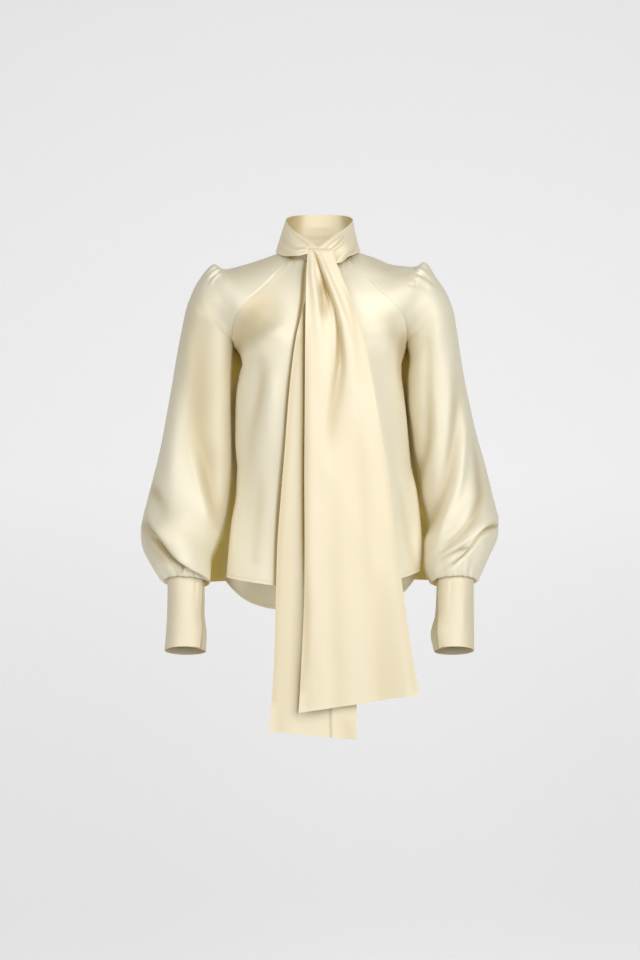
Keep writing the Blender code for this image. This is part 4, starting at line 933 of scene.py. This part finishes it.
def neck_scarf():
    """The scarf's stretch round the neck, from under the crossing at the front, all round, and over it."""
    places = np.linspace(0, len(NECK_SCARF) - 1, SCARF_GRID[1])
    table = softened(between(metres(NECK_SCARF, (0,)), places), range(1, 8), 8)
    turn = np.radians(table[:, 0])
    part = np.linspace(0, 1, SCARF_GRID[0])[:, None, None]
    lower, upper = table[None, :, 1:4], table[None, :, 4:7]
    outward = np.stack([-np.sin(turn), -np.cos(turn), np.zeros_like(turn)], axis=-1)[None] * table[None, :, 7:8]
    # painted shade on the scarf's inner face: lightest at the back of the neck, darker towards both sides
    inside = 0.15 + 1.0 * (1 - smooth(table[:, 0], 146, 162)) + 1.1 * smooth(table[:, 0], 206, 224)
    return Sheet("scarf_neck", upper + (lower - upper) * part + outward * np.sin(math.pi * part), None, 0, inside)


def tail(name, table, columns):
    """A hanging end of the scarf: rows from its top edge to its cut end."""
    rows = softened(between(metres(table), row_places(len(table) - 1, 4)), range(6), 4)
    share = np.linspace(0, 1, columns + 1)[None, :, None]
    points = rows[:, None, 0:3] + (rows[:, None, 3:6] - rows[:, None, 0:3]) * share
    return Sheet(name, points[:, ::-1])


def evened(points, reach=12):
    """A panel's grid, averaged down its length except at its edges."""
    weights = np.hanning(2 * reach + 3)[1:-1] / (reach + 1)
    before, after = 2 * points[:1] - points[reach:0:-1], 2 * points[-1:] - points[-2:-reach - 2:-1]
    padded = np.concatenate([before, points, after])
    mean = sum(w * padded[n:n + len(points)] for n, w in enumerate(weights))
    share = np.linspace(0, 1, points.shape[1])
    inside = smooth(np.minimum(share, 1 - share), 0, 0.12)[None, :, None]
    return points + (mean - points) * inside


def seam_line(sheet, first):
    """The points of a sleeve's front (or back) raglan seam, from the neck to the underarm."""
    end = YOKE_STATIONS * ROWS_PER_STATION + 1
    column = 0 if first == (sheet.name == "sleeve_right") else -1
    return sheet.grid[:end, column]


# ---- small folds ----
def waves(across, down, seed):
    """A slow, uneven swell of the cloth between -1 and 1, never the same twice."""
    total = 0
    for number, (long_x, long_y) in enumerate(WAVES):
        phase = seed * (1.7 + number)
        x, y = across * 2 * math.pi / long_x, down * 2 * math.pi / long_y
        total = total + np.sin(x + y + phase) / (number + 1.4)
        total = total + np.sin(x - y - 2 * phase) / (number + 2)
    return total / 2.6


def pleat_row(place, count, seed):
    """Small uneven pleats along an edge: round tops, narrow valleys, between -1 and 1."""
    turn = place * 2 * math.pi
    warped = place + 0.25 / count * np.sin(turn * 5 + seed) + 0.35 / count * np.sin(turn * 3 + 2.1 * seed)
    size = 0.65 + 0.35 * np.sin(turn * 7 + 1.3 * seed)
    return (1 - 2 * np.abs(np.sin(warped * math.pi * count)) ** 0.8) * -size


def body_details(sheet):
    """The gathers into the cuffs and the neck, the raglan seams' dips and the cloth's slow swell."""
    across, down = sheet.lengths()
    width = across[:, -1:]
    lift = SWELL * waves(across, down, 1 + len(sheet.name))
    top = np.exp(-(down / NECK_PLEAT_LENGTH) ** 2)
    share = across / np.maximum(width, 1e-6)
    neck_pleats = SLEEVE_NECK_PLEATS if "sleeve" in sheet.name else PANEL_NECK_PLEATS
    lift += NECK_PLEAT * top * pleat_row(share, neck_pleats, 2.0)
    edge = np.minimum(across, width - across)
    if "sleeve" in sheet.name:
        yoke = 1 - smooth(np.arange(len(lift))[:, None], 7.2 * ROWS_PER_STATION, 8 * ROWS_PER_STATION)
        left = down[-1:] - down
        turn = np.linspace(0, 1, sheet.grid.shape[1])[None, :]
        seed = 1.0 if sheet.name == "sleeve_right" else 2.6
        long, short = pleat_row(turn, CUFF_PLEATS, seed), pleat_row(turn, FINE_PLEATS, seed + 1)
        inner = (np.minimum(turn, 1 - turn) - LIP_AT) / LIP_WIDTH
        fade = smooth(left, 0.003, 0.014) * (1 - 0.8 * np.exp(-inner ** 2))
        lift += settings().gather_depth * fade * (
            0.5 * short * np.exp(-((left - 0.008) / 0.010) ** 2) + 0.8 * long * np.exp(-((left - 0.012) / 0.022) ** 2))
    else:
        yoke = 1 - smooth(np.arange(len(lift))[:, None], 7.5 * ROWS_PER_STATION, 8 * ROWS_PER_STATION)
        lift += SIDE_PUCKER * np.exp(-(edge / 0.006) ** 2) * np.sin(down * 2 * math.pi / 0.011) * (1 - yoke)
    lift -= SEAM_DIP * yoke * np.exp(-(edge / 0.0020) ** 2)
    lift += SEAM_PUCKER * yoke * np.exp(-(edge / 0.007) ** 2) * np.sin(down * 2 * math.pi / 0.009)
    return lift


def loose_details(sheet):
    """The slow swell of the scarf and the cuffs."""
    across, down = sheet.lengths()
    return (CUFF_SWELL if "cuff" in sheet.name else LOOSE_SWELL) * waves(across, down, 3 + len(sheet.name))


# ---- sewing ----
def picked(grid, rows, columns):
    """The values of a grid at fractional rows and columns."""
    low_row, low_column = rows.astype(int), columns.astype(int)
    high_row = np.minimum(low_row + 1, grid.shape[0] - 1)
    high_column = np.minimum(low_column + 1, grid.shape[1] - 1)
    down, right = (rows - low_row)[:, None], (columns - low_column)[:, None]
    upper = grid[low_row, low_column] * (1 - right) + grid[low_row, high_column] * right
    lower = grid[high_row, low_column] * (1 - right) + grid[high_row, high_column] * right
    return upper * (1 - down) + lower * down


def hem_line(grid):
    """Rows and columns of the stitches on a panel's flap: down one slit, along the hem, up the other slit."""
    across, down = Sheet("hem", grid).lengths()
    start, rows, columns = (YOKE_STATIONS + len(SIDES)) * ROWS_PER_STATION, *grid.shape[:2]
    all_rows, all_columns = np.arange(rows), np.arange(columns)
    sides = np.arange(start, rows - 2)
    first = np.array([np.interp(HEM_INSET, across[row], all_columns) for row in sides])
    last = np.array([np.interp(across[row, -1] - HEM_INSET, across[row], all_columns) for row in sides])
    along = np.arange(3, columns - 3)
    foot = np.array([np.interp(down[-1, column] - HEM_INSET, down[:, column], all_rows) for column in along])
    return (np.concatenate([sides, foot, sides[::-1]]).astype(float),
            np.concatenate([first, along, last[::-1]]).astype(float))


def stitches(name, panel_object):
    """Small stitches of thread through a panel's hem, seen from both of its faces."""
    mesh = panel_object.data
    points = np.zeros(len(mesh.vertices) * 3, np.float32)
    mesh.vertices.foreach_get("co", points)
    faces = points.reshape(2, -1, settings().panel_columns + 1, 3).astype(float)
    rows, columns = hem_line(faces[0])
    thread = bmesh.new()
    for face, other in ((faces[0], faces[1]), (faces[1], faces[0])):
        line = picked(face, rows, columns)
        ways = unit(line - picked(other, rows, columns))
        length = np.concatenate([[0], np.cumsum(np.linalg.norm(np.diff(line, axis=0), axis=1))])
        for start in np.arange(0.002, length[-1] - 0.004, STITCH + STITCH_GAP):
            spots = start + STITCH * np.array((0, 0.5, 1))
            middle = np.stack([np.interp(spots, length, line[:, axis]) for axis in range(3)], axis=1)
            out = unit(np.stack([np.interp(spots, length, ways[:, axis]) for axis in range(3)], axis=1))
            side = unit(np.cross(middle[2] - middle[0], out[1]))
            rings = []
            for centre, up, size in zip(middle, out, STITCH_SIZES):
                rings.append([thread.verts.new(centre + size * (math.cos(t) * side + (0.3 + math.sin(t)) * up))
                              for t in np.radians((0, 72, 144, 216, 288))])
            for lower, upper in zip(rings[:-1], rings[1:]):
                for n in range(5):
                    thread.faces.new((lower[n], lower[(n + 1) % 5], upper[(n + 1) % 5], upper[n]))
            thread.faces.new(rings[0][::-1])
            thread.faces.new(rings[2])
    bmesh.ops.recalc_face_normals(thread, faces=thread.faces)
    data = bpy.data.meshes.new(name)
    thread.to_mesh(data)
    thread.free()
    data.shade_smooth()
    piece = bpy.data.objects.new(name, data)
    bpy.context.scene.collection.objects.link(piece)
    return piece


# ---- materials ----
def new_group(name, inputs, outputs):
    """An empty shader node group with named sockets: (name, kind, default) for each input."""
    group = bpy.data.node_groups.new(name, "ShaderNodeTree")
    for label, kind, default in inputs:
        socket = group.interface.new_socket(name=label, in_out="INPUT", socket_type=kind)
        if default is not None:
            socket.default_value = default
    for label, kind in outputs:
        group.interface.new_socket(name=label, in_out="OUTPUT", socket_type=kind)
    return group, group.nodes.new("NodeGroupInput"), group.nodes.new("NodeGroupOutput")


def satin_group():
    """Satin: painted shade (a deeper colour) in the folds and gaps, a faint change of tone, fine weave lines, and a
    soft unevenness.
    """
    if "satin" in bpy.data.node_groups:
        return bpy.data.node_groups["satin"]
    group, given, result = new_group(
        "satin",
        (("Colour", "NodeSocketColor", (0.9, 0.82, 0.6, 1)), ("Deep colour", "NodeSocketColor", (0.7, 0.5, 0.2, 1)),
         ("Gap colour", "NodeSocketColor", (0.3, 0.2, 0.05, 1)), ("Roughness", "NodeSocketFloat", 0.4),
         ("Weave", "NodeSocketFloat", 0.04), ("Unevenness", "NodeSocketFloat", 0.05)),
        (("Colour", "NodeSocketColor"), ("Roughness", "NodeSocketFloat"), ("Normal", "NodeSocketVector")))
    link = group.links.new

    def node(kind, sockets, **choices):
        """A new node; a socket takes a value, or is joined to another node's output."""
        made = group.nodes.new(kind)
        for choice, value in choices.items():
            setattr(made, choice, value)
        for socket, value in sockets.items():
            if isinstance(value, bpy.types.NodeSocket):
                link(value, made.inputs[socket])
            else:
                made.inputs[socket].default_value = value
        return made.outputs

    place = node("ShaderNodeTexCoord", {})
    threads = node("ShaderNodeMapping", {"Vector": place["UV"], "Scale": (2600, 900, 1)})
    weave = node("ShaderNodeTexNoise", {"Vector": threads["Vector"], "Scale": 1.0, "Detail": 1.0})
    folds = node("ShaderNodeMapping", {"Vector": place["Object"], "Scale": (26, 26, 9)})
    swell = node("ShaderNodeTexNoise", {"Vector": folds["Vector"], "Scale": 1.0, "Detail": 2.0})
    tone = node("ShaderNodeMapRange", {"Value": swell["Fac"], "To Min": 0.985, "To Max": 1.015})["Result"]
    # painted shade: from 0 to 1 the colour goes towards the deep colour, from 1 to 2 on towards the gap colour
    depth = node("ShaderNodeAttribute", {}, attribute_name="hollow")["Fac"]
    fold_shade_mix = node("ShaderNodeMix", {"Factor": depth, "A": given.outputs["Colour"], "B": given.outputs["Deep colour"]},
                data_type="RGBA")
    beyond = node("ShaderNodeMapRange", {"Value": depth, "From Min": 1.0, "From Max": 2.0})
    gap = node("ShaderNodeMix", {"Factor": beyond["Result"], "A": fold_shade_mix["Result"], "B": given.outputs["Gap colour"]},
               data_type="RGBA")
    colour = node("ShaderNodeVectorMath", {0: gap["Result"], "Scale": tone}, operation="SCALE")
    rough = node("ShaderNodeMath", {0: given.outputs["Roughness"], 1: tone}, operation="MULTIPLY")
    slow = node("ShaderNodeBump", {"Strength": given.outputs["Unevenness"], "Distance": 0.02, "Height": swell["Fac"]})
    fine = node("ShaderNodeBump", {"Strength": given.outputs["Weave"], "Distance": 0.0004, "Height": weave["Fac"],
                                   "Normal": slow["Normal"]})
    link(colour["Vector"], result.inputs["Colour"])
    link(rough["Value"], result.inputs["Roughness"])
    link(fine["Normal"], result.inputs["Normal"])
    return group


def painted_tone(name):
    """A factor on a piece's colours that paints light or shade over the whole piece: sleeves and cuffs darker than the
    body (painted shade), the scarf round the neck lighter (painted light).
    """
    if "sleeve" in name or "cuff" in name:
        return settings().sleeve_shade_tone
    return settings().neck_light_tone if name.startswith("scarf_neck") else 1.0


def satin(name, colour, tone=1.0):
    """Satin of a colour, with painted shade in the folds and gaps; the tone scales the colour and the deep colour of
    the painted shade.
    """
    material = bpy.data.materials.new(name)
    material.use_nodes = True
    nodes, link = material.node_tree.nodes, material.node_tree.links.new
    shader = nodes["Principled BSDF"]
    effect = nodes.new("ShaderNodeGroup")
    effect.node_tree = satin_group()
    effect.inputs["Colour"].default_value = (*(tone * part for part in colour), 1)
    effect.inputs["Deep colour"].default_value = (*(tone * part for part in settings().deep_silk), 1)
    effect.inputs["Gap colour"].default_value = (*settings().gap_silk, 1)
    effect.inputs["Roughness"].default_value = settings().sheen_roughness
    for socket, target in (("Colour", "Base Color"), ("Roughness", "Roughness"), ("Normal", "Normal")):
        link(effect.outputs[socket], shader.inputs[target])
    shader.inputs["IOR"].default_value = 1.7
    shader.inputs["Metallic"].default_value = 0.14
    return material


def plain(name, colour, roughness, glow=0.0):
    """A material of one colour."""
    material = bpy.data.materials.new(name)
    material.use_nodes = True
    shader = material.node_tree.nodes["Principled BSDF"]
    shader.inputs["Base Color"].default_value = (*colour, 1)
    shader.inputs["Roughness"].default_value = roughness
    shader.inputs["Emission Color"].default_value = (*colour, 1)
    shader.inputs["Emission Strength"].default_value = glow
    return material


def finish_piece(piece):
    """Gives a cloth piece its satin and its place on the frame, and hides the CAD part it stands for."""
    name = piece.data.name.split(".")[0]
    colour = settings().silk if name in ("front", "back") or "sleeve" in name else settings().double_silk
    piece.data.materials.append(satin(name + "_silk", colour, painted_tone(name)))
    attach(piece, "root")
    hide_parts(name)


def dress(sheets, thickness):
    """Walls, satin and frame facts for finished sheets."""
    for sheet, normals in zip(sheets, seam_normals(sheets)):
        finish_piece(wall(sheet, normals, thickness))


# ---- operators ----
class BLOUSE_OT_body(bpy.types.Operator):
    """Build the front, the back and the two sleeves, which share their seams"""

    bl_idname = "blouse.body"
    bl_label = "Body and sleeves"

    def execute(self, context):
        right, left = sleeve("sleeve_right", RIGHT_SLEEVE), sleeve("sleeve_left", LEFT_SLEEVE)
        front = panel("front", seam_line(right, True), seam_line(left, True), FRONT_FLAP)
        back = panel("back", seam_line(right, False), seam_line(left, False), BACK_FLAP)
        dress(folded([right, left, front, back], body_details), settings().cloth)
        return {"FINISHED"}


class BLOUSE_OT_cuffs(bpy.types.Operator):
    """Build the two deep cuffs"""

    bl_idname = "blouse.cuffs"
    bl_label = "Cuffs"

    def execute(self, context):
        pieces = [cuff("cuff_right", RIGHT_CUFF), cuff("cuff_left", LEFT_CUFF)]
        dress(folded(pieces, loose_details), settings().double_cloth)
        return {"FINISHED"}


class BLOUSE_OT_scarf(bpy.types.Operator):
    """Build the scarf: the stretch round the neck and its two tails"""

    bl_idname = "blouse.scarf"
    bl_label = "Scarf"

    def execute(self, context):
        front_columns, back_columns = TAIL_COLUMNS
        pieces = [neck_scarf(), tail("scarf_tail_front", FRONT_TAIL, front_columns),
                  tail("scarf_tail_back", BACK_TAIL, back_columns)]
        dress(folded(pieces, loose_details), settings().double_cloth)
        return {"FINISHED"}


class BLOUSE_OT_stitches(bpy.types.Operator):
    """Sew the hems of the front and the back with thread"""

    bl_idname = "blouse.stitches"
    bl_label = "Hem stitches"

    def execute(self, context):
        thread = satin("hem_thread", settings().thread)
        for name in ("front", "back"):
            panel_object = bpy.data.objects.get(name + "_satin")
            if panel_object is None:
                raise RuntimeError("the " + name + " has to be built before its hem is sewn")
            piece = stitches(name + "_hem_stitches", panel_object)
            piece.data.materials.append(thread)
            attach(piece, "root")
        return {"FINISHED"}


class BLOUSE_OT_stage(bpy.types.Operator):
    """Build the floor and wall, the lights and the camera"""

    bl_idname = "blouse.stage"
    bl_label = "Studio"

    def execute(self, context):
        s = settings()
        near, depth, rise, bend, half_width, steps = -0.9, 3.4, 5.0, 1.2, 6.0, 16
        profile = [(near, s.floor_drop), (depth - bend, s.floor_drop)]
        for step in range(1, steps + 1):
            angle = math.pi / 2 * step / steps
            profile.append((depth - bend + bend * math.sin(angle), s.floor_drop + bend * (1 - math.cos(angle))))
        profile.append((depth, s.floor_drop + rise))
        points = [(x, y, z) for y, z in profile for x in (-half_width, half_width)]
        faces = [(2 * n, 2 * n + 1, 2 * n + 3, 2 * n + 2) for n in range(len(profile) - 1)]
        mesh = bpy.data.meshes.new("studio_sweep")
        mesh.from_pydata(points, [], faces)
        mesh.shade_smooth()
        mesh.materials.append(plain("backdrop_paper", s.backdrop, 1.0, 0.425))
        sweep = bpy.data.objects.new("studio_sweep", mesh)
        context.scene.collection.objects.link(sweep)
        self.light(context, "key_softbox", s.key_power, 3.2, (1.6, -2.8, 0.8))
        self.light(context, "fill_softbox", s.fill_power, 2.4, (-1.7, -2.9, 0.6))
        world = bpy.data.worlds.new("studio_air")
        world.use_nodes = True
        air = world.node_tree.nodes["Background"]
        air.inputs["Color"].default_value = (1.0, 1.0, 1.0, 1)
        air.inputs["Strength"].default_value = 0.18
        context.scene.world = world
        context.scene.view_settings.view_transform = "Standard"
        data = bpy.data.cameras.new("camera")
        data.sensor_width = 36
        data.lens = data.sensor_width * s.view_distance / VIEW_WIDTH
        camera = bpy.data.objects.new("camera", data)
        camera.location = (0.0009, -s.view_distance, s.view_height)
        camera.rotation_euler = (math.pi / 2, 0, 0)
        context.scene.collection.objects.link(camera)
        context.scene.camera = camera
        return {"FINISHED"}

    def light(self, context, name, power, size, place):
        """A square softbox that faces the middle of the blouse."""
        data = bpy.data.lights.new(name, "AREA")
        data.energy = power
        data.size = size
        lamp = bpy.data.objects.new(name, data)
        lamp.location = place
        x, y, z = (a - b for a, b in zip(AIM, place))
        lamp.rotation_euler = (math.atan2(math.hypot(x, y), -z), 0, math.atan2(x, -y) + math.pi)
        context.scene.collection.objects.link(lamp)


class BLOUSE_PT_panel(bpy.types.Panel):
    """Sidebar panel with the blouse's sizes and steps"""

    bl_idname = "BLOUSE_PT_panel"
    bl_label = "Blouse"
    bl_space_type = "VIEW_3D"
    bl_region_type = "UI"
    bl_category = "Blouse"

    def draw(self, context):
        for name in BlouseSettings.__annotations__:
            self.layout.prop(context.scene.blouse, name)
        for operator in OPERATORS:
            self.layout.operator(operator.bl_idname)


OPERATORS = (BLOUSE_OT_body, BLOUSE_OT_cuffs, BLOUSE_OT_scarf, BLOUSE_OT_stitches, BLOUSE_OT_stage)
CLASSES = (BlouseSettings, *OPERATORS, BLOUSE_PT_panel)


def register():
    for cls in CLASSES:
        bpy.utils.register_class(cls)
    bpy.types.Scene.blouse = bpy.props.PointerProperty(type=BlouseSettings)


def unregister():
    del bpy.types.Scene.blouse
    for cls in reversed(CLASSES):
        bpy.utils.unregister_class(cls)


def main():
    """Builds the blouse on its frame, sews its hems and sets up the studio."""
    register()
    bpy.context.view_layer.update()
    bpy.ops.object.select_all(action="DESELECT")
    bpy.ops.blouse.body()
    bpy.ops.blouse.cuffs()
    bpy.ops.blouse.scarf()
    bpy.ops.blouse.stitches()
    bpy.ops.blouse.stage()


if __name__ == "__main__":
    main()
